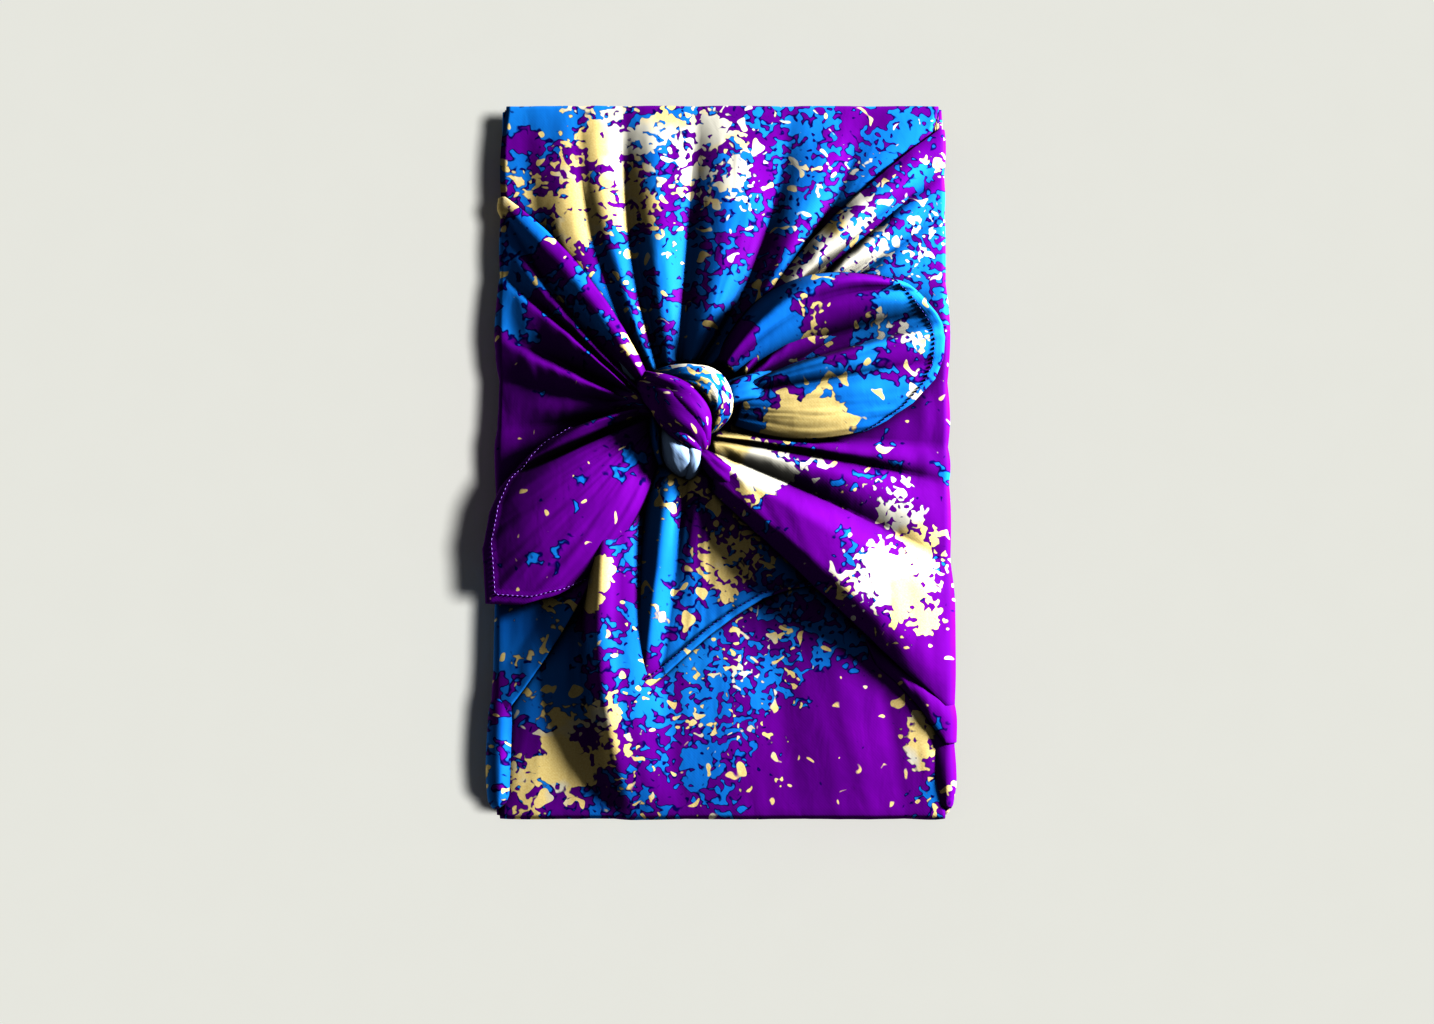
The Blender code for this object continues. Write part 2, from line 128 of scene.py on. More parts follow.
RIGHT_FLAP = (
    Fold(199, 4, 62, -9, 1.2, 6.5, 9.0),
    Fold(189, 8, 57, -6, 1.8, 11.0, 11.0),
    Fold(172, 10, 54, -6, 0.4, 1.2, 7.0),
    Fold(159, 12, 50, -6, 1.0, 8.5, 9.0),
    Fold(147, 13, 47, -5, 0.4, 1.6, 6.0),
    Fold(132, 14, 44, -4, 1.0, 7.0, 9.0),
    Fold(105, 14, 40, 0, 0.8, 1.6, 5.0),
    Fold(75, 10, 34, 0, 3.2, 3.4, 5.0),
    Fold(45, 5, 28, 0, 1.2, 1.8, 4.0),
    Fold(24, 0, 22, 0, 2.6, 3.0, 5.0),
    Fold(6, -4, 16, 0, 1.2, 1.8, 4.0),
    Fold(-5, -6, 12, 0, 2.6, 7.6, 8.0),
    Fold(-15, -7, 10, -2, 1.6, 2.4, 6.0),
    Fold(-35, -7, 7, -3, 2.6, 9.5, 9.0),
    Fold(-62, -7, 2, -3, 2.0, 4.0, 8.0),
    Fold(-92, -6, -5, 0, 4.6, 16.0, 12.0),
    Fold(-124, -5, -13, 0, 4.6, 16.5, 12.0),
    Fold(-147, -6, -20, 0, 3.8, 10.5, 9.0),
)

BOTTOM_FLAP = (
    Fold(-131, -125, -120, 0, 0.6, 1.0, 1.0),
    Fold(-118, -110, -105, 0, 1.0, 3.2, 2.6),
    Fold(-98, -97, -92, 0, 0.8, 2.0, 2.0),
    Fold(-78, -86, -70, 4, 0.6, 0.8, 0.8),
    Fold(-64, -79, -46, 11, 0.6, 1.0, 2.2),
    Fold(-54, -69, -38, 10, 1.4, 15.0, 13.0),
    Fold(-42, -60, -34, 9, 1.2, 10.5, 9.0),
    Fold(-22, -46, -32, 4, 0.8, 2.6, 0.7),
    Fold(4, -20, -40, 0, 1.0, 2.6, 0.9),
    Fold(45, 14, -46, 0, 0.7, 1.0, 0.9),
    Fold(85, 50, -60, 0, 1.0, 2.6, 0.9),
    Fold(107, 88, -95, 0, 0.6, 0.9, 0.8),
    Fold(125, 112, -125, 0, 1.2, 2.4, 1.2),
    Fold(131, 126, -140, 0, 0.6, 1.0, 0.8),
)

RIGHT_PLEAT = (
    Fold(-138, 84, -108, 0, 1.2, 2.0, 1.0),
    Fold(-157, 88, -118, -2, 5.0, 5.0, 1.8),
    Fold(-169, 90, -123, -3, 4.6, 4.0, 1.2),
)

# The gathered corners at the parcel's lower end, where the cloth is tucked in round the box.
LEFT_CORNER = (
    Fold(-140, -124, -140, 0, 2.0, 1.6, 0.8),
    Fold(-158, -123, -158, 0, 5.2, 4.6, 1.0),
    Fold(-184, -124, -184, 0, 6.2, 5.2, 1.0),
    Fold(-202, -125, -200, 0, 5.0, 4.0, 0.8),
    Fold(-208, -127, -205, 0, 2.0, 1.4, 0.7),
)

RIGHT_CORNER = (
    Fold(-158, 124, -158, 0, 1.0, 1.0, 0.8),
    Fold(-172, 123, -172, 0, 3.4, 2.6, 0.8),
    Fold(-190, 124, -188, 0, 4.4, 3.2, 1.0),
    Fold(-204, 126, -200, 0, 2.6, 2.0, 0.8),
    Fold(-208, 127, -205, 0, 1.0, 1.0, 0.7),
)

# A ray of a free panel runs from its root, under the knot, to its tip at the hem.
Ray = namedtuple("Ray", "root_x root_y tip_x tip_y bow root_lift mid_lift tip_lift")

FLAP_POINT = (
    Ray(-43, -4, -52, -136, -4, 2.0, 1.6, 2.2),
    Ray(-34, 2, -50, -139, -2, 3.0, 8.5, 3.8),
    Ray(-27, 4, -46, -140, -2, 3.5, 11.5, 4.6),
    Ray(-20, 0, -36, -132, 0, 3.5, 3.4, 4.2),
    Ray(-13, -10, -24, -121, 0, 8.0, 4.8, 4.4),
    Ray(-7, -13, -8, -107, 0, 7.0, 3.8, 4.4),
    Ray(1, -18, 8, -95, 0, 6.0, 3.4, 4.4),
    Ray(11, -28, 24, -85, 0, 5.0, 3.4, 4.2),
    Ray(23, -38, 42, -79, 0, 4.0, 3.2, 3.6),
    Ray(36, -46, 60, -76, 0, 3.6, 3.0, 3.0),
)

LEFT_TAIL = (
    Ray(-39, 31, -92, 15, -1, 6.0, 14.0, 11.5),
    Ray(-41, 29, -107, 6, -1, 10.0, 20.5, 13.0),
    Ray(-42, 27, -116, -2, -1, 9.0, 18.5, 12.5),
    Ray(-42, 24, -125, -11, 0, 3.0, 4.2, 9.5),
    Ray(-43, 22, -131, -19, 0, 10.0, 18.5, 11.5),
    Ray(-43, 20, -137, -34, 0, 10.0, 20.0, 14.0),
    Ray(-43, 18, -141, -56, 0, 10.0, 20.5, 14.5),
    Ray(-43, 15, -139, -88, 2, 9.5, 20.0, 14.0),
    Ray(-42, 12, -118, -89, 4, 9.0, 18.0, 13.0),
    Ray(-40, 8, -97, -83, 7, 8.0, 14.0, 10.5),
    Ray(-37, 4, -84, -76, 9, 4.0, 7.5, 7.0),
)

RIGHT_TAIL = (
    Ray(-6, 55, 96, 107, 24, 7.0, 8.0, 8.0),
    Ray(1, 53, 111, 101, 19, 14.0, 29.0, 15.0),
    Ray(3, 51, 116, 98, 16, 10.0, 19.0, 12.5),
    Ray(9, 45, 128, 85, 7, 2.0, 3.0, 9.0),
    Ray(10, 43, 131, 79, 4, 3.0, 4.0, 9.5),
    Ray(11, 41, 131, 73, 1, 12.0, 21.5, 14.5),
    Ray(11, 40, 132, 70, 0, 12.0, 20.0, 14.0),
    Ray(11, 37, 131, 57, -1, 9.5, 13.5, 12.0),
    Ray(10, 33, 126, 45, -3, 10.5, 16.0, 12.5),
    Ray(9, 28, 113, 31, -5, 9.5, 15.0, 11.0),
    Ray(8, 23, 98, 21, -6, 8.0, 12.5, 9.0),
    Ray(6, 18, 86, 15, -7, 6.0, 9.0, 8.0),
)

# A station of a knotted strand: its centre, its height over the parcel's top, its width and its depth.
Station = namedtuple("Station", "x y lift wide deep")

STRANDS = {
    "over_strand": (
        (Station(-50, 47, 3, 10, 8), Station(-44, 42, 11, 17, 12), Station(-36, 35, 18, 22, 15),
         Station(-28, 27, 21, 26, 16), Station(-20.5, 18.5, 19.5, 23, 15), Station(-15, 10.5, 13, 15, 12),
         Station(-12, 4, 7, 8, 9)),
        5, 0.06),
    "over_upper": (
        (Station(-50, 49, 3, 7, 7), Station(-43, 45, 11, 10, 10), Station(-34, 40.5, 18.5, 13, 13),
         Station(-23, 33, 22, 17, 15), Station(-15, 23, 20.5, 16, 14), Station(-11.5, 14, 14, 10, 11),
         Station(-10.5, 6, 7, 6, 8)),
        3, 0.05),
    "over_lower": (
        (Station(-51, 43, 3, 6, 7), Station(-46, 38, 10, 8, 10), Station(-40, 30.5, 16.5, 10, 12),
         Station(-32.5, 20.5, 19.5, 12, 13), Station(-23.5, 11.5, 17.5, 11.5, 12),
         Station(-16.5, 5, 11.5, 8, 10), Station(-13, 1, 6, 5, 8)),
        2, 0.08),
    "round_loop": (
        (Station(-44, 44, 3, 10, 10), Station(-33, 45, 10, 16, 14), Station(-20, 44, 14.5, 20, 18),
         Station(-8.5, 39.5, 16, 22, 19), Station(-3.5, 31, 14.5, 21, 18), Station(-5.5, 22.5, 10, 16, 14),
         Station(-9.5, 15, 6, 9, 10), Station(-12, 10, 4, 5, 8)),
        6, 0.18),
    "turned_left": (
        (Station(-30, 18, 9, 11, 12), Station(-29, 12, 12.5, 15.5, 14), Station(-27, 4, 13, 18.5, 14),
         Station(-25, -3, 10.5, 17.5, 13), Station(-22, -10, 4.5, 9, 8)),
        2, 0.06),
    "turned_right": (
        (Station(-22, 10, 8, 9, 10), Station(-19.5, 4, 10.5, 12, 12), Station(-18, -2, 10, 12, 12),
         Station(-18.5, -8, 7, 10, 10), Station(-20.5, -12, 3.5, 6, 7)),
        1, 0.04),
    "navy_strand": (
        (Station(-40, 26, 8, 7, 9), Station(-39.5, 16, 10, 8, 10), Station(-38.5, 6, 8, 8, 10),
         Station(-36, -4, 4, 7, 8)),
        1, 0.10),
    "lower_right": (
        (Station(-18, 4, 6, 9, 10), Station(-11, -1, 8, 11, 12), Station(-3, -8, 9, 13, 12),
         Station(6, -15, 8, 15, 11), Station(16, -23, 6, 17, 9)),
        3, 0.12),
    "neck_left": (
        (Station(-66, 35, 4, 26, 8), Station(-54, 32, 8, 18, 11), Station(-44, 29, 9, 14, 13),
         Station(-34, 26, 9, 12, 13)),
        5, 0.16),
    "neck_right": (
        (Station(30, 42, 4, 24, 8), Station(18, 40, 8, 20, 12), Station(7, 37, 9, 16, 13),
         Station(-3, 33, 9, 12, 12)),
        4, 0.14),
}

# The way each flat part of the cloth goes down the wall, and its own place in the print.
OUTWARD = {
    "bottom_flap": (0, -1, 1),
    "top_flap": (0, 1, 2),
    "right_pleat": (1, 0, 3),
    "left_corner": (-1, 0, 9),
    "right_corner": (1, 0, 10),
    "left_flap": (-1, 0, 4),
    "right_flap": (1, 0, 5),
    "flap_point": (0, 0, 6),
    "left_tail": (0, 0, 7),
    "right_tail": (0, 0, 8),
}

# The share of the cloth that blue, gold and pale print take up in each part of it, and how much of the
# print there is small spots in place of large blotches. The pale share is partly print and partly a
# painted highlight, off-white where lit gold crests shine.
Ink = namedtuple("Ink", "blue gold pale fine")
PRINT = {
    "back": Ink(0.42, 0.24, 0.10, 0.3),
    "bottom_flap": Ink(0.46, 0.10, 0.2, 0.6),
    "top_flap": Ink(0.44, 0.26, 0.3, 0.4),
    "flap_point": Ink(0.42, 0.38, 0.15, 0.2),
    "right_pleat": Ink(0.20, 0.10, 0.0, 0.0),
    "left_corner": Ink(0.60, 0.22, 0.0, 0.2),
    "right_corner": Ink(0.10, 0.20, 0.0, 0.0),
    "left_flap": Ink(0.24, 0.06, 0.10, 0.1),
    "right_flap": Ink(0.26, 0.16, 0.3, 0.4),
    "left_tail": Ink(0.14, 0.0, 0.0, 0.0),
    "right_tail": Ink(0.70, 0.06, 0.15, 0.2),
    "over_strand": Ink(0.16, 0.20, 0.3, 0.5),
    "over_upper": Ink(0.16, 0.14, 0.3, 0.5),
    "over_lower": Ink(0.26, 0.10, 0.3, 0.5),
    "round_loop": Ink(0.62, 0.44, 0.35, 0.8),
    "turned_left": Ink(0.0, 0.0, 0.0, 0.0),
    "turned_right": Ink(0.0, 0.0, 0.0, 0.0),
    "navy_strand": Ink(0.85, 0.05, 0.0, 0.3),
    "lower_right": Ink(0.05, 0.02, 0.0, 0.0),
    "neck_left": Ink(0.45, 0.12, 0.3, 0.3),
    "neck_right": Ink(0.70, 0.05, 0.2, 0.2),
}

# Soft areas where the print is thicker, thinner or finer: centre, radius and what they add. Where an area
# adds pale, that pale is partly a painted highlight on lit crests.
Area = namedtuple("Area", "x y radius blue gold pale fine")
AREAS = {
    "top_flap": (
        Area(-82, 160, 50, -0.14, 0.36, -0.2, 0.1),
        Area(-62, 190, 24, 0.10, 0.14, 0.5, 0.0),
        Area(-125, 200, 25, 0.25, -0.40, 0.0, -0.4),
        Area(-20, 100, 48, 0.20, -0.16, 0.2, 0.1),
        Area(0, 180, 34, 0.0, 0.20, 0.5, 0.1),
        Area(90, 180, 60, 0.08, -0.14, 0.4, 0.3),
    ),
    "left_flap": (
        Area(-115, 140, 40, 0.10, 0.12, 0.1, 0.0),
        Area(-54, 60, 13, 0.0, 0.40, 0.1, 0.2),
        Area(-132, 158, 13, 0.0, 0.50, 0.2, 0.0),
        Area(-123, 130, 14, 0.34, 0.0, 0.0, 0.0),
        Area(-126, 96, 15, 0.40, 0.0, 0.0, 0.0),
        Area(-110, 78, 14, 0.44, 0.0, 0.0, 0.0),
        Area(-82, 84, 13, 0.34, 0.0, 0.0, 0.2),
        Area(-100, 10, 55, -0.30, -0.10, 0.0, 0.0),
        Area(-115, -110, 50, 0.45, 0.24, 0.2, 0.2),
    ),
    "right_flap": (
        Area(118, 135, 48, 0.30, 0.12, 0.7, 0.4),
        Area(60, 118, 34, 0.10, 0.46, 0.3, 0.3),
        Area(104, -30, 20, -0.10, 0.34, 0.5, 0.4),
        Area(116, -58, 20, 0.0, 0.36, -0.6, 0.4),
        Area(92, -74, 24, 0.10, 0.50, 0.6, 0.3),
        Area(116, -96, 18, -0.10, 0.42, -0.6, 0.2),
        Area(56, -36, 22, -0.20, -0.30, 0.0, -0.4),
        Area(120, -6, 20, -0.10, -0.10, 0.0, -0.4),
        Area(8, 4, 14, 0.0, 0.70, -0.3, -0.3),
        Area(26, -12, 16, 0.10, 0.70, 0.5, -0.3),
        Area(58, -8, 12, 0.10, 0.36, 0.4, -0.3),
        Area(125, -135, 35, -0.20, -0.20, 0.0, -0.4),
    ),
    "bottom_flap": (
        Area(-95, -180, 40, -0.10, 0.55, 0.0, -0.4),
        Area(-73, -68, 10, -0.40, 0.90, 0.1, -0.6),
        Area(-77, -88, 8, -0.40, 0.90, 0.1, -0.6),
        Area(-100, -130, 34, 0.20, -0.06, 0.0, -0.4),
        Area(70, -180, 46, -0.60, -0.12, 0.0, -0.4),
        Area(112, -168, 20, -0.30, 0.50, 0.1, -0.5),
        Area(10, -140, 50, 0.10, 0.22, 0.2, 0.3),
    ),
    "flap_point": (
        Area(-44, -60, 20, 0.60, -0.34, 0.0, -0.3),
        Area(-46, -100, 14, 0.50, -0.20, 0.0, -0.2),
        Area(10, -60, 36, -0.06, 0.06, -0.2, 0.5),
        Area(-28, -123, 6, 0.60, -0.40, 0.0, -0.5),
        Area(-17, -113, 6, 0.60, -0.40, 0.0, -0.5),
        Area(-7, -105, 6, 0.60, -0.30, 0.0, -0.5),
        Area(3, -98, 6, 0.50, -0.20, 0.0, -0.4),
        Area(13, -91, 6, 0.60, -0.40, 0.0, -0.5),
        Area(24, -85, 6, 0.40, -0.20, 0.0, -0.4),
    ),
    "right_tail": (
        Area(62, 24, 24, -0.10, 0.66, -0.3, -0.2),
        Area(104, 76, 16, -0.10, 0.50, 0.8, -0.1),
        Area(116, 36, 14, -0.20, 0.50, 0.7, -0.1),
        Area(66, 78, 20, -0.50, 0.26, -0.2, -0.2),
        Area(40, 20, 16, 0.0, 0.50, -0.2, -0.2),
        Area(2, 72, 14, -0.90, -0.1, 0.0, 0.0),
        Area(84, 104, 12, -0.60, -0.1, 0.0, 0.0),
        Area(105, 58, 14, -0.40, 0.0, 0.0, 0.1),
    ),
    "left_tail": (
        Area(-60, 0, 25, 0.28, 0.0, 0.0, 0.0),
        Area(-105, -70, 40, 0.05, 0.0, 0.0, 0.0),
    ),
}


def mix(low, high, share):
    return low + (high - low) * share


def through_three(start, middle, end, share):
    """The height at a share of the way, on the curve through three heights."""
    left = (share - 0.5) * (share - 1.0) * 2.0
    centre = share * (1.0 - share) * 4.0
    right = share * (share - 0.5) * 2.0
    return start * left + middle * centre + end * right


def bowed(start, end, bow, share):
    """A point of the plan curve from start to end whose middle stands `bow` to the left."""
    run_x = end[0] - start[0]
    run_y = end[1] - start[1]
    run = math.hypot(run_x, run_y)
    out = 4.0 * bow * share * (1.0 - share) / run
    return start[0] + run_x * share - run_y * out, start[1] + run_y * share + run_x * out


def between(first, second, share):
    """A fold or ray between two neighbours. Crests are round and valleys are sharp."""
    values = []
    for name in first._fields:
        low = getattr(first, name)
        high = getattr(second, name)
        if name.endswith("lift"):
            rise = math.sin(share * math.pi / 2) if high > low else 1.0 - math.cos(share * math.pi / 2)
            values.append(mix(low, high, rise))
        else:
            values.append(mix(low, high, share))
    return type(first)(*values)


def spread(rows, step_mm, width):
    """The rows, with more worked out between each two, about step_mm apart at their wide end."""
    lines = []
    for first, second in zip(rows, rows[1:]):
        steps = max(3, round(width(first, second) / step_mm))
        lines += [between(first, second, step / steps) for step in range(steps)]
    return lines + [rows[-1]]


def fold_gap(first, second):
    return abs(second.edge - first.edge)


def ray_gap(first, second):
    return math.hypot(second.tip_x - first.tip_x, second.tip_y - first.tip_y)


def flap_line(fold, outward, steps):
    """A fold's points and its flat places, from the foot of the side wall to the neck."""
    out_x, out_y = outward
    reach = HALF_WIDTH if out_x else HALF_LENGTH
    along_x, along_y = abs(out_y), abs(out_x)
    start_x = out_x * (reach - SHOULDER) + along_x * fold.edge
    start_y = out_y * (reach - SHOULDER) + along_y * fold.edge
    points = []
    for share in (0.0, 0.15, 0.35, 0.6, 0.8, 1.0):
        height = mix(1.0, TOP - SHOULDER, share)
        proud = SHOULDER + CLEAR + fold.edge_lift * min(1.0, 1.3 * share)
        points.append((start_x + out_x * proud, start_y + out_y * proud, height))
    for angle in (22.0, 45.0, 68.0, 90.0):
        turn = math.radians(angle)
        proud = SHOULDER + CLEAR + fold.edge_lift
        out = proud * math.cos(turn)
        height = TOP - SHOULDER + proud * math.sin(turn)
        points.append((start_x + out_x * out, start_y + out_y * out, height))
    for step in range(1, steps + 1):
        share = step / steps
        x, y = bowed((start_x, start_y), (fold.neck_x, fold.neck_y), fold.bow, share)
        rise = through_three(fold.edge_lift, fold.mid_lift, fold.neck_lift, share)
        points.append((x, y, TOP + CLEAR + rise))
    points = np.array(points)
    gone = np.concatenate([[0.0], np.cumsum(np.linalg.norm(np.diff(points, axis=0), axis=1))])
    flat_out = reach + gone
    flat = np.stack([out_x * flat_out + along_x * fold.edge, out_y * flat_out + along_y * fold.edge], axis=1)
    return points, flat


def ray_line(ray, steps, across):
    """A ray's points and its flat places, from its root to its tip."""
    start, end = (ray.root_x, ray.root_y), (ray.tip_x, ray.tip_y)
    points = []
    for step in range(steps + 1):
        share = 1.0 - (1.0 - step / steps) ** 1.15
        x, y = bowed(start, end, ray.bow, share)
        rise = through_three(ray.root_lift, ray.mid_lift, ray.tip_lift, share)
        points.append((x, y, TOP + rise))
    points = np.array(points)
    gone = np.concatenate([[0.0], np.cumsum(np.linalg.norm(np.diff(points, axis=0), axis=1))])
    return points, np.stack([np.full(len(gone), across), gone], axis=1)


class Cloth:
    """Gathers the surfaces of the one cloth, with each point's flat place, its print and its side."""

    def __init__(self):
        self.points = []
        self.flat = []
        self.ink = []
        self.faces = []
        self.sides = []

    def add(self, part, points, flat=None, closed=False, side=PRINTED, turned=False):
        """A grid of points, closed into a tube across its rows if asked. A flap needs no flat places."""
        rows, columns = points.shape[:2]
        base = len(self.points)
        if flat is None:
            flat = print_place(part, points)
        self.points += [tuple(p) for p in points.reshape(-1, 3)]
        self.flat += [tuple(f) for f in flat.reshape(-1, 2)]
        self.ink += [ink_at(part, p[0], p[1]) for p in points.reshape(-1, 3)]
        last = columns if closed else columns - 1
        for row in range(rows - 1):
            for column in range(last):
                nearby = (column + 1) % columns
                quad = [
                    base + row * columns + column,
                    base + (row + 1) * columns + column,
                    base + (row + 1) * columns + nearby,
                    base + row * columns + nearby,
                ]
                self.faces.append(quad[::-1] if turned else quad)
                self.sides.append(side)


def print_place(part, points):
    """Where the print lies on a part: seen from above, with the side walls laid out flat beside it."""
    out_x, out_y, seed = OUTWARD[part]
    down = np.maximum(0.0, TOP - SHOULDER - points[..., 2])
    u = points[..., 0] + out_x * down + PRINT_STEP_X * seed
    v = points[..., 1] + out_y * down - PRINT_STEP_Y * seed
    return np.stack([u, v], axis=2)


def ink_at(part, x, y):
    """The shares of blue, gold and pale print at a place of a part, and how fine it is there. The pale share
    is partly a painted highlight.
    """
    shares = list(PRINT[part])
    for area in AREAS.get(part, ()):
        near = math.exp(-((x - area.x) ** 2 + (y - area.y) ** 2) / area.radius**2)
        for place, extra in enumerate((area.blue, area.gold, area.pale, area.fine)):
            shares[place] += extra * near
    return tuple(min(1.0, max(0.0, share)) for share in shares)


def unit(vectors):
    """The vectors, each made one long."""
    return vectors / np.maximum(np.linalg.norm(vectors, axis=-1, keepdims=True), 1e-9)


def normals_of(points):
    """The unit normal at each point of a grid."""
    return unit(np.cross(np.gradient(points, axis=0), np.gradient(points, axis=1)))


def upper_normals(points):
    """The unit normals of a grid, on the side that faces up."""
    normals = normals_of(points)
    return -normals if normals[..., 2].mean() < 0 else normals


def facing_up(points, flat):
    """The grids, with their rows turned round if their faces look down."""
    if normals_of(points)[..., 2].mean() < 0:
        return points[::-1], flat[::-1]
    return points, flat


def creased(points, flat, size, across_mm, along_mm, seed):
    """The points moved along their normals by small creases that run along the folds."""
    moved = points.copy()
    normals = normals_of(points)
    for row in range(points.shape[0]):
        for column in range(points.shape[1]):
            u, v = flat[row, column]
            place = Vector((u / across_mm, v / along_mm, seed))
            bump = noise.noise(place) + 0.45 * noise.noise(place * 2.3)
            room = min(1.0, max(0.2, (points[row, column, 2] - TOP) / 4.0))
            moved[row, column] += normals[row, column] * size * bump * room
    return moved


def rolled_edge(points, first, tuck=7.0):
    """The grid with a rolled fold added along its first or last row, turned in under the flap."""
    if not first:
        return rolled_edge(points[::-1], True, tuck)[::-1]
    edge = points[0]
    along = unit(np.gradient(edge, axis=0))
    away = edge - points[2]
    away -= along * np.sum(away * along, axis=1, keepdims=True)
    facing = normals_of(points)[0]
    if facing[:, 2].mean() < 0:
        facing = -facing
    up = unit(np.cross(along, away))
    up[np.sum(up * facing, axis=1) < 0] *= -1
    # The fold turns nearly level, whatever slope the flap has there.
    level = unit(unit(away) * (1.0, 1.0, 0.3))
    radius = np.clip(0.40 * (edge[:, 2:3] - TOP), 0.5, 3.2)
    rows = []
    for angle in (58.0, 28.0, 0.0, -28.0, -58.0, -90.0):
        turn = math.radians(angle)
        rows.append(edge + level * radius * math.cos(turn) + up * radius * (math.sin(turn) - 1.0))
    rows.append(edge - level * tuck - up * radius * 2.0)
    return np.concatenate([np.array(rows)[::-1], points])


def flap_grid(folds, outward, step_mm, steps):
    lines = [flap_line(fold, outward, steps) for fold in spread(folds, step_mm, fold_gap)]
    return np.array([line[0] for line in lines]), np.array([line[1] for line in lines])


def ray_grid(rays, step_mm, steps):
    lines = []
    across = 0.0
    before = None
    for ray in spread(rays, step_mm, ray_gap):
        across += ray_gap(before, ray) if before else 0.0
        before = ray
        lines.append(ray_line(ray, steps, across))
    return np.array([line[0] for line in lines]), np.array([line[1] for line in lines])


def hemmed(points, proud):
    """The points with a raised band along the last columns, where the hem is turned in."""
    raised = points.copy()
    normals = upper_normals(points)
    for column in HEM_COLUMNS:
        raised[:, column] += normals[:, column] * proud
    return raised


def fine_stations(stations, steps):
    """The stations, with more worked out between them on a smooth curve."""
    padded = [stations[0], *stations, stations[-1]]
    fine = []
    for place in range(len(stations) - 1):
        before, first, second, after = padded[place : place + 4]
        for step in range(steps):
            share = step / steps
            values = []
            for a, b, c, d in zip(before, first, second, after):
                bend = 2 * a - 5 * b + 4 * c - d
                turn = 3 * b - a - 3 * c + d
                values.append(0.5 * (2 * b + (c - a) * share + bend * share**2 + turn * share**3))
            fine.append(Station(*values))
    return fine + [stations[-1]]


def strand_grid(stations, pleats, depth, sides=36, steps=5):
    """A knotted strand: a flattened roll of cloth with pleats along it."""
    fine = fine_stations(stations, steps)
    rings, flats = [], []
    gone = 0.0
    for place, station in enumerate(fine):
        before, after = fine[max(place - 1, 0)], fine[min(place + 1, len(fine) - 1)]
        run = Vector((after.x - before.x, after.y - before.y, after.lift - before.lift)).normalized()
        side = Vector((-run.y, run.x, 0.0)).normalized()
        over = run.cross(side)
        if over.z < 0:
            over = -over
        if place:
            gone += math.dist(station[:3], fine[place - 1][:3])
        ring, flat = [], []
        for corner in range(sides):
            turn = 2 * math.pi * corner / sides
            # Pleats that drift round the strand, and creases of two sizes that no two strands share.
            drift = 0.5 * math.sin(gone / 17.0 + pleats)
            wave = abs(math.sin(pleats * (turn + drift)))
            groove = 1.0 - depth * (1.0 - wave**0.5)
            twist = turn + gone / 30.0
            place = Vector((1.6 * math.cos(twist), 1.6 * math.sin(twist), gone / 26.0))
            groove += 0.14 * noise.noise(place + Vector((pleats, depth * 40.0, 0.0)))
            groove += 0.05 * noise.noise(place * 3.1)
            reach = side * math.cos(turn) * groove * station.wide / 2
            reach += over * math.sin(turn) * groove * station.deep / 2
            ring.append((station.x + reach.x, station.y + reach.y, TOP + station.lift + reach.z))
            flat.append((corner / sides * math.pi * 26.0, gone))
        rings.append(ring)
        flats.append(flat)
    return np.array(rings), np.array(flats)


def back_grid(around=144):
    """The layer against the box: the back, the four walls and the shoulders, as one tray."""
    points, flats = [], []
    # Places of the profile: how far in from the wall, or less than 0 for a share of the way out from
    # the middle, and the height.
    profile = [(-share, 0.6) for share in (0.02, 0.2, 0.4, 0.6, 0.8, 0.93)]
    profile += [(1.9, 0.6), (1.0, 0.75), (0.35, 1.2), (0.05, 2.2), (0.0, 5.0), (0.0, 10.0), (0.0, 15.0),
                (0.0, 20.0), (0.0, 25.0), (0.0, TOP - 2.0), (0.3, TOP - 0.9), (0.9, TOP - 0.3), (2.0, TOP)]
    profile += [(-share, TOP - 0.5) for share in (0.96, 0.8, 0.6, 0.4, 0.2, 0.02)]
    gone = 0.0
    before = None
    for inset, height in profile:
        ring, flat = [], []
        if before is not None and before[0] >= 0 and inset >= 0:
            gone += math.hypot(inset - before[0], height - before[1])
        before = (inset, height)
        for corner in range(around):
            x, y, out_x, out_y = round_rectangle(corner / around, HALF_WIDTH, HALF_LENGTH, 3.0)
            if inset < 0:
                place = (x * -inset, y * -inset)
                flat.append(place)
            else:
                place = (x - out_x * inset, y - out_y * inset)
                flat.append((x + out_x * gone, y + out_y * gone))
            ring.append((place[0], place[1], height))
        points.append(ring)
        flats.append(flat)
    return np.array(points), np.array(flats)


def round_rectangle(share, half_w, half_l, radius):
    """A point on a rectangle with rounded corners, and the way out from there."""
    straight_w, straight_l = 2 * (half_w - radius), 2 * (half_l - radius)
    arc = math.pi * radius / 2
    left = share * 2 * (straight_w + straight_l + 2 * arc)
    corners = ((1, -1, 0.0), (1, 1, 90.0), (-1, 1, 180.0), (-1, -1, 270.0))
    sides = (straight_l, straight_w, straight_l, straight_w)
    starts = ((half_w, -1, 0, 1), (half_l, 1, -1, 0), (-half_w, 1, 0, -1), (-half_l, -1, 1, 0))
    for place in range(4):
        length = sides[place]
        if left <= length:
            reach, sign, run_x, run_y = starts[place]
            if run_y:
                return reach, sign * (half_l - radius) + run_y * left, math.copysign(1, reach), 0.0
            return sign * (half_w - radius) + run_x * left, reach, 0.0, math.copysign(1, reach)
        left -= length
        if left <= arc:
            sign_x, sign_y, turn = corners[(place + 1) % 4]
            angle = math.radians(turn - 90.0) + left / radius
            out_x, out_y = math.cos(angle), math.sin(angle)
            centre_x, centre_y = sign_x * (half_w - radius), sign_y * (half_l - radius)
            return centre_x + out_x * radius, centre_y + out_y * radius, out_x, out_y
        left -= arc
    return half_w, -(half_l - radius), 1.0, 0.0


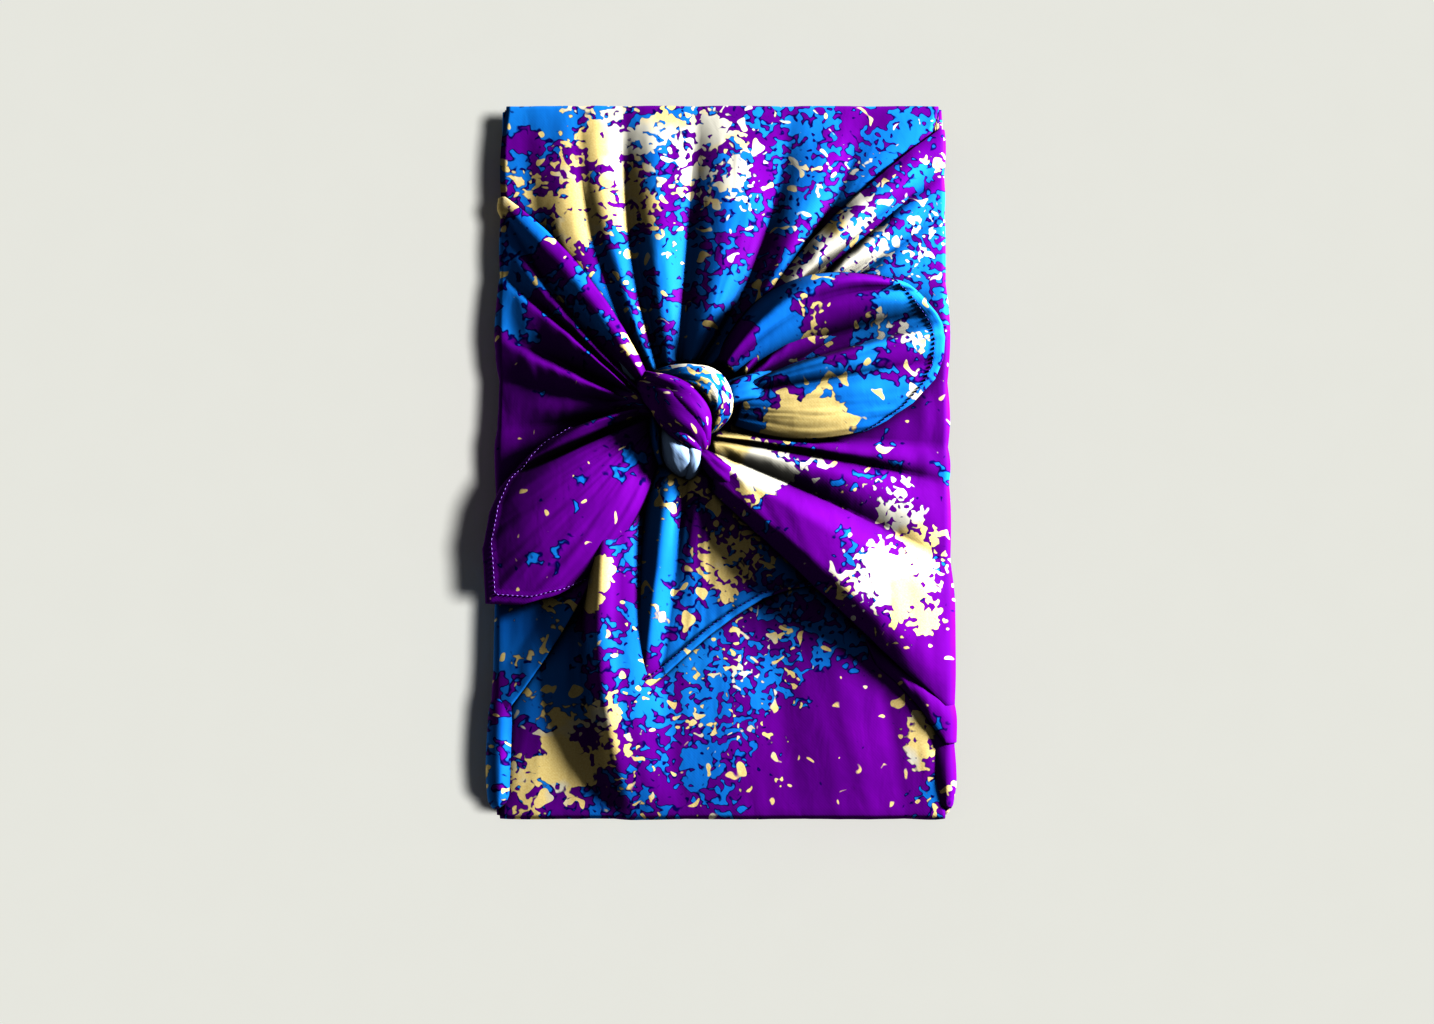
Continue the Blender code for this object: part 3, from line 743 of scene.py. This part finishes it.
def linear(colour):
    """An sRGB hex colour as the linear colour that the shader takes."""
    parts = [int(colour[place : place + 2], 16) / 255 for place in (1, 3, 5)]
    return [p / 12.92 if p <= 0.04045 else ((p + 0.055) / 1.055) ** 2.4 for p in parts] + [1.0]


def connect(tree, node, links):
    """Fills a node's inputs, by name or place, from a socket or a plain value each."""
    for place, value in links.items():
        if isinstance(value, bpy.types.NodeSocket):
            tree.links.new(value, node.inputs[place])
        else:
            node.inputs[place].default_value = value


def add(tree, kind, links=None, **settings):
    """Adds a node with its settings and inputs."""
    node = tree.nodes.new(kind)
    for name, value in settings.items():
        setattr(node, name, value)
    connect(tree, node, links or {})
    return node


def threshold(tree, field, share, width=0.012, reach=0.5, shift=0.0):
    """1 where the field is high enough for that share of the cloth, with a crisp edge."""
    biased = add(tree, "ShaderNodeMath", {0: share, 1: reach, 2: field}, operation="MULTIPLY_ADD").outputs[0]
    middle = 0.5 + reach * 0.5 - shift
    limits = {"Value": biased, "From Min": middle - width, "From Max": middle + width}
    return add(tree, "ShaderNodeMapRange", limits).outputs[0]


def blend_colour(tree, share, low, high):
    return add(tree, "ShaderNodeMix", {"Factor": share, 6: low, 7: high}, data_type="RGBA").outputs[2]


def flat_place(tree, seed, scale=(1.0, 1.0, 1.0)):
    """The cloth's own flat place, scaled and moved to a part of the noise of its own."""
    uv = add(tree, "ShaderNodeUVMap", uv_map="flat").outputs[0]
    links = {"Vector": uv, "Location": (seed, seed * 0.7, seed * 1.3), "Scale": scale}
    return add(tree, "ShaderNodeMapping", links).outputs[0]


def noise_at(tree, place, scale, detail, rough, warp=0.0):
    links = {"Vector": place, "Scale": scale, "Detail": detail, "Roughness": rough, "Distortion": warp}
    return add(tree, "ShaderNodeTexNoise", links).outputs[0]


def weave_bump(tree, strength):
    """Fine threads and small creases as a bump. The threads are drawn at 0.9 mm, or they would not show."""
    links = {"Vector": flat_place(tree, 0.0), "Scale": 350.0, "Distortion": 1.5, "Detail": 1.0}
    threads = add(tree, "ShaderNodeTexWave", links, bands_direction="DIAGONAL").outputs[1]
    fine = add(tree, "ShaderNodeBump", {"Height": threads, "Strength": 0.06, "Distance": 0.0002}).outputs[0]
    stretched = flat_place(tree, 5.0, (70.0, 45.0, 1.0))
    creases = noise_at(tree, stretched, 1.0, 3.0, 0.5, 0.4)
    links = {"Height": creases, "Strength": strength, "Distance": 0.0012, "Normal": fine}
    return add(tree, "ShaderNodeBump", links).outputs[0]


def splatter(tree, size, seed, fine):
    """A field whose high parts are curled blotches about that size, broken into small spots where fine."""
    place = flat_place(tree, seed)
    links = {"Vector": place, "Scale": 4.5 / size, "Detail": 1.0}
    swirl = add(tree, "ShaderNodeTexNoise", links).outputs["Color"]
    links = {0: swirl, 1: (0.5, 0.5, 0.5)}
    centred = add(tree, "ShaderNodeVectorMath", links, operation="SUBTRACT").outputs[0]
    reach = 0.20 * size
    links = {0: centred, 1: (reach, reach, 0.0), 2: place}
    moved = add(tree, "ShaderNodeVectorMath", links, operation="MULTIPLY_ADD").outputs[0]
    large = noise_at(tree, moved, 0.9 / size, 0.0, 0.5)
    middle = noise_at(tree, moved, 2.4 / size, 0.0, 0.5)
    small = noise_at(tree, moved, 6.5 / size, 0.0, 0.5)
    part = add(tree, "ShaderNodeMapRange", {"Value": fine, "To Min": 0.30, "To Max": 0.62}).outputs[0]
    coarse = add(tree, "ShaderNodeMix", {"Factor": part, "A": large, "B": middle}).outputs[0]
    part = add(tree, "ShaderNodeMapRange", {"Value": fine, "To Min": 0.20, "To Max": 0.52}).outputs[0]
    return add(tree, "ShaderNodeMix", {"Factor": part, "A": coarse, "B": small}).outputs[0]


def painted_fold_shade(tree, colour, reach=0.026):
    """The colour with painted shade: darker where folds close in on it, from an ambient occlusion node in the
    base colour.
    """
    open_share = add(tree, "ShaderNodeAmbientOcclusion", {"Distance": reach}, samples=8).outputs["AO"]
    links = {"Value": open_share, "From Min": 0.46, "From Max": 0.96, "To Min": 0.04, "To Max": 1.0}
    shade = add(tree, "ShaderNodeMapRange", links).outputs[0]
    dark = add(tree, "ShaderNodeVectorMath", {0: colour, "Scale": shade}, operation="SCALE")
    return dark.outputs[0]


def new_material(name):
    """A new material, with its node tree and its shader."""
    made = bpy.data.materials.new(name)
    made.use_nodes = True
    return made, made.node_tree, made.node_tree.nodes["Principled BSDF"]


def darker(colour, share):
    """An sRGB hex colour as a linear one, made darker by that share."""
    return [part * share for part in linear(colour)[:3]] + [1.0]


def printed_cotton_sateen(looks):
    """Cotton sateen, mercerised and screen-printed: crisp print edges, and gold a little metallic. Its colour
    carries painted shade in the folds, and its pale print is partly a painted highlight.
    """
    made, tree, shader = new_material("printed_cotton_sateen")
    ink = add(tree, "ShaderNodeAttribute", attribute_name="ink")
    shares = add(tree, "ShaderNodeSeparateColor", {0: ink.outputs["Color"]})
    blue_share, gold_share, pale_and_highlight_share = shares.outputs
    fine = ink.outputs["Alpha"]

    size = looks.blotch_size
    ground = noise_at(tree, flat_place(tree, 9.0), 22.0, 3.0, 0.5)
    purple = blend_colour(tree, ground, linear(looks.purple_deep), linear(looks.purple))

    blue_field = splatter(tree, size, 2.0, fine)
    blue_mask = threshold(tree, blue_field, blue_share)
    rim_mask = threshold(tree, blue_field, blue_share, shift=0.034)
    tone = noise_at(tree, flat_place(tree, 31.0), 16.0, 2.0, 0.5)
    blue = blend_colour(tree, tone, linear(looks.blue), linear(looks.blue_light))
    colour = blend_colour(tree, rim_mask, purple, linear(looks.navy))
    colour = blend_colour(tree, blue_mask, colour, blue)

    gold_field = splatter(tree, size * 0.9, 17.0, fine)
    gold_mask = threshold(tree, gold_field, gold_share)
    speck_field = noise_at(tree, flat_place(tree, 43.0), 120.0, 0.0, 0.5, 0.5)
    specks = threshold(tree, speck_field, gold_share, reach=0.30, shift=-0.14)
    gold_mask = add(tree, "ShaderNodeMath", {0: gold_mask, 1: specks}, operation="MAXIMUM").outputs[0]
    gold_rim = threshold(tree, gold_field, gold_share, shift=0.012)
    colour = blend_colour(tree, gold_rim, colour, linear(looks.navy))
    # Pale print, partly a painted highlight: gold turns off-white where its crests are lit.
    pale_and_highlight_field = noise_at(tree, flat_place(tree, 57.0), 0.9 / size, 3.0, 0.5)
    pale_and_highlight_mask = threshold(tree, pale_and_highlight_field, pale_and_highlight_share, width=0.06, reach=0.4)
    grain = noise_at(tree, flat_place(tree, 71.0), 900.0, 2.0, 0.6)
    gold = blend_colour(tree, grain, linear(looks.gold_deep), linear(looks.gold))
    gold = blend_colour(tree, pale_and_highlight_mask, gold, linear(looks.pale))
    colour = blend_colour(tree, gold_mask, colour, gold)

    metal = add(tree, "ShaderNodeMath", {0: gold_mask, 1: 0.1}, operation="MULTIPLY").outputs[0]
    # Painted shade: the print's colour is darkened in the hollows between folds.
    colour = painted_fold_shade(tree, colour)
    connect(tree, shader, {"Metallic": metal, "Base Color": colour, "Normal": weave_bump(tree, 0.35)})
    connect(tree, shader, {"Roughness": 0.6, "Specular IOR Level": 0.03})
    connect(tree, shader, {"Sheen Weight": 0.01, "Sheen Roughness": 0.4})
    return made


def unprinted_cotton_reverse(looks):
    """The cloth's other side: pale blue-grey cotton that the print shows through faintly."""
    made, tree, shader = new_material("unprinted_cotton_reverse")
    field = noise_at(tree, flat_place(tree, 2.0), 1.0 / looks.blotch_size, 3.0, 0.5)
    through = threshold(tree, field, 0.2, width=0.06)
    colour = blend_colour(tree, through, linear(looks.reverse), linear(looks.show_through))
    # Painted shade: the reverse's colour is darkened in the hollows between folds.
    connect(tree, shader, {"Base Color": painted_fold_shade(tree, colour), "Normal": weave_bump(tree, 0.4)})
    connect(tree, shader, {"Roughness": 0.62, "Sheen Weight": 0.15})
    return made


def polyester_sewing_thread(name, colour):
    """Spun polyester sewing thread: round, a little brighter than the cloth."""
    made, tree, shader = new_material(name)
    place = add(tree, "ShaderNodeTexCoord").outputs["Object"]
    twist = add(tree, "ShaderNodeTexWave", {"Vector": place, "Scale": 900.0}, bands_direction="DIAGONAL")
    shade = blend_colour(tree, twist.outputs[1], linear(colour), darker(colour, 0.7))
    connect(tree, shader, {"Base Color": shade, "Roughness": 0.5})
    return made


def grey_board(node):
    """Plain grey carton board: matt, with short fibres."""
    made, tree, shader = new_material("grey_carton_board")
    place = add(tree, "ShaderNodeTexCoord").outputs["Object"]
    fibres = noise_at(tree, place, 420.0, 4.0, 0.7)
    colour = blend_colour(tree, fibres, linear("#9c9080"), linear("#b5aa99"))
    connect(tree, shader, {"Base Color": colour, "Roughness": 0.85})
    node.data.materials.clear()
    node.data.materials.append(made)


def seamless_paper(colour):
    """Pale background paper: matt, with a very faint tooth."""
    made, tree, shader = new_material("seamless_background_paper")
    place = add(tree, "ShaderNodeTexCoord").outputs["Object"]
    tooth = noise_at(tree, place, 30.0, 2.0, 0.5)
    shade = blend_colour(tree, tooth, linear(colour), darker(colour, 0.985))
    connect(tree, shader, {"Base Color": shade, "Roughness": 0.9, "Specular IOR Level": 0.2})
    return made


def stitch_tree(thread):
    """A node tree that lays one short stitch at each step along a path."""
    tree = bpy.data.node_groups.new("hem_stitches", "GeometryNodeTree")
    face = tree.interface
    face.new_socket("Geometry", in_out="INPUT", socket_type="NodeSocketGeometry")
    for label, value in (("Stitch pitch", 0.0028), ("Stitch length", 0.0019), ("Thread width", THREAD_WIDTH)):
        socket = face.new_socket(label, in_out="INPUT", socket_type="NodeSocketFloat")
        socket.default_value = value
        socket.subtype = "DISTANCE"
    face.new_socket("Geometry", in_out="OUTPUT", socket_type="NodeSocketGeometry")
    start = add(tree, "NodeGroupInput")
    source, pitch, length, width = start.outputs[0], start.outputs[1], start.outputs[2], start.outputs[3]
    path = add(tree, "GeometryNodeMeshToCurve", {0: source})
    steps = add(tree, "GeometryNodeResampleCurve", {"Curve": path.outputs[0], "Length": pitch}, mode="LENGTH")
    bead = add(tree, "GeometryNodeMeshUVSphere", {"Segments": 8, "Rings": 5, "Radius": 0.5})
    sizes = add(tree, "ShaderNodeCombineXYZ", {0: length, 1: width, 2: width})
    shaped = add(tree, "GeometryNodeTransform", {"Geometry": bead.outputs[0], "Scale": sizes.outputs[0]})
    tangent = add(tree, "GeometryNodeInputTangent")
    turn = add(tree, "FunctionNodeAlignRotationToVector", {"Vector": tangent.outputs[0]}, axis="X")
    links = {"Points": steps.outputs[0], "Instance": shaped.outputs[0], "Rotation": turn.outputs[0]}
    laid = add(tree, "GeometryNodeInstanceOnPoints", links)
    real = add(tree, "GeometryNodeRealizeInstances", {0: laid.outputs[0]})
    painted = add(tree, "GeometryNodeSetMaterial", {"Geometry": real.outputs[0], "Material": thread})
    add(tree, "NodeGroupOutput", {0: painted.outputs[0]})
    return tree


def sewn(name, path, thread, looks):
    """A row of stitches along a path, as a plain mesh."""
    mesh = bpy.data.meshes.new(name + "_path")
    points = [tuple(value * MM for value in point) for point in path]
    mesh.from_pydata(points, [(place, place + 1) for place in range(len(points) - 1)], [])
    carrier = bpy.data.objects.new(name + "_path", mesh)
    bpy.context.scene.collection.objects.link(carrier)
    modifier = carrier.modifiers.new("stitches", "NODES")
    modifier.node_group = stitch_tree(thread)
    values = {
        "Stitch pitch": looks.stitch_pitch,
        "Stitch length": looks.stitch_length,
        "Thread width": THREAD_WIDTH,
    }
    for item in modifier.node_group.interface.items_tree:
        if item.in_out == "INPUT" and item.name in values:
            modifier[item.identifier] = values[item.name]
    bpy.context.view_layer.update()
    graph = bpy.context.evaluated_depsgraph_get()
    plain = bpy.data.meshes.new_from_object(carrier.evaluated_get(graph))
    carrier.modifiers.remove(modifier)
    bpy.data.objects.remove(carrier)
    plain.name = name
    for polygon in plain.polygons:
        polygon.use_smooth = True
    obj = bpy.data.objects.new(name, plain)
    bpy.context.scene.collection.objects.link(obj)
    return obj


def hem_path(points):
    """The line that the hem's stitches follow on a panel, just over the cloth."""
    line = points[:, STITCH_COLUMN] + upper_normals(points)[:, STITCH_COLUMN] * STITCH_RISE
    return line[1:-1]


def build_cloth():
    """The whole cloth as one mesh, and the grids of the free panels, which the stitches follow."""
    cloth = Cloth()
    points, flat = back_grid()
    cloth.add("back", points, flat, closed=True, turned=True)

    # Each flap: its folds, its wall's way out, the rows' step in mm, the points along a fold, whether
    # its first and last edges are rolled, and the creases' size in mm.
    flaps = (
        ("bottom_flap", BOTTOM_FLAP, (0, -1), 3.2, 36, False, False, 0.7),
        ("top_flap", TOP_FLAP, (0, 1), 2.8, 45, False, False, 0.6),
        ("left_corner", LEFT_CORNER, (-1, 0), 2.0, 8, False, False, 0.3),
        ("right_corner", RIGHT_CORNER, (1, 0), 2.0, 8, False, False, 0.3),
        ("right_pleat", RIGHT_PLEAT, (1, 0), 2.0, 24, False, True, 0.4),
        ("left_flap", LEFT_FLAP, (-1, 0), 2.6, 42, True, False, 0.5),
        ("right_flap", RIGHT_FLAP, (1, 0), 2.8, 47, True, True, 0.5),
    )
    for seed, (part, folds, outward, step_mm, steps, roll_first, roll_last, size) in enumerate(flaps):
        points, flat = facing_up(*flap_grid(folds, outward, step_mm, steps))
        turned = points[0, -1, 0] != folds[0].neck_x or points[0, -1, 1] != folds[0].neck_y
        points = creased(points, flat, size, 9.0, 60.0, seed * 3.1)
        if roll_first:
            points = rolled_edge(points, not turned)
        if roll_last:
            points = rolled_edge(points, turned)
        cloth.add(part, points)

    # Each free panel: its rays, the rows' step in mm, the points along a ray, and the hem's rise in mm.
    panels = (
        ("flap_point", FLAP_POINT, 2.2, 48, 1.2),
        ("left_tail", LEFT_TAIL, 2.0, 48, 0.6),
        ("right_tail", RIGHT_TAIL, 1.9, 50, 0.6),
    )
    grids = {}
    for seed, (part, rays, step_mm, steps, hem_rise) in enumerate(panels):
        points, flat = facing_up(*ray_grid(rays, step_mm, steps))
        points = hemmed(creased(points, flat, 0.5, 8.0, 45.0, 20.0 + seed * 3.7), hem_rise)
        cloth.add(part, points)
        grids[part] = points

    for seed, (part, (stations, pleats, depth)) in enumerate(STRANDS.items()):
        points, flat = strand_grid(stations, pleats, depth)
        flat = flat + np.array([-500.0 - seed * 61.0, 300.0 + seed * 83.0])
        side = REVERSE if part.startswith("turned") else PRINTED
        cloth.add(part, points, flat, closed=True, side=side, turned=True)
    return cloth, grids


class GiftWrapCloth(bpy.types.PropertyGroup):
    """Sizes and colours of the printed cloth."""

    thickness: bpy.props.FloatProperty(
        name="Thickness", description="Thickness of the cloth", default=0.0006, unit="LENGTH"
    )
    blotch_size: bpy.props.FloatProperty(
        name="Blotch size", description="Size of the print's large blotches", default=0.026, unit="LENGTH"
    )
    purple: bpy.props.StringProperty(
        name="Purple", description="Light purple of the ground", default="#7c04a2"
    )
    purple_deep: bpy.props.StringProperty(
        name="Deep purple", description="Dark purple of the ground", default="#500472"
    )
    blue: bpy.props.StringProperty(name="Blue", description="Main blue of the print", default="#0a58b0")
    blue_light: bpy.props.StringProperty(
        name="Light blue", description="Light blue inside the blotches", default="#2c9ae8"
    )
    navy: bpy.props.StringProperty(name="Navy", description="Rims of the blue blotches", default="#10065c")
    gold: bpy.props.StringProperty(name="Gold", description="Light gold of the print", default="#f6e6aa")
    gold_deep: bpy.props.StringProperty(
        name="Deep gold", description="Dark gold of the print", default="#dcbe74"
    )
    # Pale print, partly a painted highlight on lit gold crests.
    pale: bpy.props.StringProperty(
        name="Pale print", description="Off-white parts of the print", default="#d8d5c8"
    )
    reverse: bpy.props.StringProperty(name="Reverse", description="The cloth's other side", default="#9cb8dc")
    show_through: bpy.props.StringProperty(
        name="Show-through", description="Print seen faintly from the other side", default="#a99ac8"
    )


class GiftWrapSewing(bpy.types.PropertyGroup):
    """Sizes and colours of the hem's stitches."""

    stitch_pitch: bpy.props.FloatProperty(
        name="Stitch pitch", description="Distance from stitch to stitch", default=0.0028, unit="LENGTH"
    )
    stitch_length: bpy.props.FloatProperty(
        name="Stitch length", description="Length of a stitch", default=0.0019, unit="LENGTH"
    )
    lilac: bpy.props.StringProperty(
        name="Lilac thread", description="Thread on the purple tail", default="#8d62c0"
    )
    dark: bpy.props.StringProperty(
        name="Dark thread", description="Thread on the blue tail and the top flap's corner", default="#1a1a8c"
    )


class GiftWrapStage(bpy.types.PropertyGroup):
    """The floor, the light and the camera."""

    floor: bpy.props.StringProperty(name="Floor", description="Colour of the floor", default="#e5e6e1")
    key_strength: bpy.props.FloatProperty(
        name="Key light", description="Strength of the light from the right", default=2.45
    )
    key_height: bpy.props.FloatProperty(
        name="Key height",
        description="Angle of the light over the floor",
        default=math.radians(60.0),
        subtype="ANGLE",
    )
    rake_strength: bpy.props.FloatProperty(
        name="Raking light", description="Strength of the low light that only the parcel gets", default=59.0
    )
    rake_height: bpy.props.FloatProperty(
        name="Raking height",
        description="Height of the raking light over the floor",
        default=0.34,
        unit="LENGTH",
    )
    fill: bpy.props.FloatProperty(
        name="Fill", description="Strength of the light from all round", default=0.07
    )
    camera_tilt: bpy.props.FloatProperty(
        name="Camera tilt",
        description="Angle of the view from straight down",
        default=math.radians(4.5),
        subtype="ANGLE",
    )
    camera_distance: bpy.props.FloatProperty(
        name="Camera distance", description="Distance from camera to parcel", default=1.1, unit="LENGTH"
    )


class GIFTWRAP_OT_cloth(bpy.types.Operator):
    """Builds the folded and knotted cloth and paints the box inside it"""

    bl_idname = "giftwrap.cloth"
    bl_label = "Cloth"

    def execute(self, context):
        looks = context.scene.gift_wrap_cloth
        cloth, grids = build_cloth()
        mesh = bpy.data.meshes.new("printed_cloth")
        mesh.from_pydata([tuple(value * MM for value in point) for point in cloth.points], [], cloth.faces)
        layer = mesh.uv_layers.new(name="flat")
        ink = mesh.attributes.new("ink", "FLOAT_COLOR", "POINT")
        for place, shares in enumerate(cloth.ink):
            ink.data[place].color = shares
        for polygon, side in zip(mesh.polygons, cloth.sides):
            polygon.use_smooth = True
            polygon.material_index = side
        for loop in mesh.loops:
            u, v = cloth.flat[loop.vertex_index]
            layer.data[loop.index].uv = (u * MM, v * MM)
        obj = bpy.data.objects.new("printed_cloth", mesh)
        context.scene.collection.objects.link(obj)
        printed = printed_cotton_sateen(looks)
        for material in (printed, unprinted_cotton_reverse(looks), printed):
            mesh.materials.append(material)
        thick = obj.modifiers.new("thickness", "SOLIDIFY")
        thick.thickness = looks.thickness
        thick.offset = -1.0
        thick.material_offset = 1
        grey_board(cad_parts["gift_box"])
        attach(obj, "root")
        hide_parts("wrap_cloth")
        GRIDS.update(grids)
        return {"FINISHED"}


class GIFTWRAP_OT_stitches(bpy.types.Operator):
    bl_idname = "giftwrap.stitches"
    bl_label = "Hem stitches"

    def execute(self, context):
        looks = context.scene.gift_wrap_sewing
        lilac = polyester_sewing_thread("lilac_polyester_thread", looks.lilac)
        dark = polyester_sewing_thread("dark_blue_polyester_thread", looks.dark)
        for part, thread in (("left_tail", lilac), ("right_tail", dark), ("flap_point", dark)):
            piece = sewn(part + "_stitches", hem_path(GRIDS[part]), thread, looks)
            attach(piece, "root")
        return {"FINISHED"}


class GIFTWRAP_OT_stage(bpy.types.Operator):
    """Sets up the floor, the light from the right and the camera above"""

    bl_idname = "giftwrap.stage"
    bl_label = "Stage"

    def execute(self, context):
        looks = context.scene.gift_wrap_stage
        mesh = bpy.data.meshes.new("paper_floor")
        corners = [(x * FLOOR_REACH, y * FLOOR_REACH, 0) for x, y in ((-1, -1), (1, -1), (1, 1), (-1, 1))]
        mesh.from_pydata(corners, [], [(0, 1, 2, 3)])
        floor = bpy.data.objects.new("paper_floor", mesh)
        mesh.materials.append(seamless_paper(looks.floor))
        context.scene.collection.objects.link(floor)

        key = bpy.data.lights.new("key_light", "SUN")
        key.angle = math.radians(14.0)
        key.energy = looks.key_strength
        key.color = (1.0, 0.99, 0.97)
        rise = looks.key_height
        where = Vector((math.cos(rise), -0.10, math.sin(rise)))
        holder = self.place(context, key, where, Vector((0.0, 0.0, 0.0)))
        self.lights_only(holder, [floor])
        rake = bpy.data.lights.new("window_light", "AREA")
        rake.size = WINDOW_SIZE
        rake.energy = looks.rake_strength
        # It doesn't bounce, or the parcel's lit wall would tint the floor, which the photograph's doesn't.
        rake.cycles.max_bounces = 0
        where = Vector((*WINDOW_PLACE, looks.rake_height))
        holder = self.place(context, rake, where, Vector((0.0, 0.0, PARCEL_TOP)))
        parcel = [obj for obj in context.scene.objects if obj.type == "MESH" and obj != floor]
        self.lights_only(holder, parcel)
        world = bpy.data.worlds.new("studio_room")
        world.use_nodes = True
        background = world.node_tree.nodes["Background"]
        background.inputs["Color"].default_value = (0.95, 0.97, 1.0, 1.0)
        background.inputs["Strength"].default_value = looks.fill
        context.scene.world = world

        camera = bpy.data.cameras.new("camera")
        camera.sensor_width = SENSOR_WIDTH
        camera.lens = SENSOR_WIDTH * looks.camera_distance / FRAME_WIDTH
        target = Vector((*FRAME_MIDDLE, PARCEL_TOP))
        away = Vector((0.0, -math.sin(looks.camera_tilt), math.cos(looks.camera_tilt)))
        holder = self.place(context, camera, target + away * looks.camera_distance, target)
        context.scene.camera = holder
        context.scene.view_settings.view_transform = "Standard"
        context.scene.view_settings.look = "High Contrast"
        return {"FINISHED"}

    def lights_only(self, light, objects):
        """Lets a light reach only these objects: the photograph's parcel and its floor are lit apart."""
        lit = bpy.data.collections.new("lit_by_" + light.name)
        for obj in objects:
            lit.objects.link(obj)
        light.light_linking.receiver_collection = lit

    def place(self, context, data, where, target):
        """Links a light or camera at a place, looking at the target, with the photograph's up kept."""
        obj = bpy.data.objects.new(data.name, data)
        obj.location = where
        obj.rotation_euler = (target - where).to_track_quat("-Z", "Y").to_euler()
        context.scene.collection.objects.link(obj)
        return obj


class GIFTWRAP_PT_panel(bpy.types.Panel):
    """Lists what can be built"""

    bl_idname = "GIFTWRAP_PT_panel"
    bl_label = "Gift wrap"
    bl_space_type = "VIEW_3D"
    bl_region_type = "UI"
    bl_category = "Gift wrap"

    def draw(self, context):
        layout = self.layout
        for group, operator in (
            (context.scene.gift_wrap_cloth, "giftwrap.cloth"),
            (context.scene.gift_wrap_sewing, "giftwrap.stitches"),
            (context.scene.gift_wrap_stage, "giftwrap.stage"),
        ):
            box = layout.box()
            for name in group.__annotations__:
                box.prop(group, name)
            box.operator(operator)


GRIDS = {}
CLASSES = (
    GiftWrapCloth,
    GiftWrapSewing,
    GiftWrapStage,
    GIFTWRAP_OT_cloth,
    GIFTWRAP_OT_stitches,
    GIFTWRAP_OT_stage,
    GIFTWRAP_PT_panel,
)


def register():
    for item in CLASSES:
        bpy.utils.register_class(item)
    bpy.types.Scene.gift_wrap_cloth = bpy.props.PointerProperty(type=GiftWrapCloth)
    bpy.types.Scene.gift_wrap_sewing = bpy.props.PointerProperty(type=GiftWrapSewing)
    bpy.types.Scene.gift_wrap_stage = bpy.props.PointerProperty(type=GiftWrapStage)


def unregister():
    del bpy.types.Scene.gift_wrap_stage
    del bpy.types.Scene.gift_wrap_sewing
    del bpy.types.Scene.gift_wrap_cloth
    for item in reversed(CLASSES):
        bpy.utils.unregister_class(item)


def main():
    register()
    bpy.ops.giftwrap.cloth()
    bpy.ops.giftwrap.stitches()
    bpy.ops.giftwrap.stage()


if __name__ == "__main__":
    main()
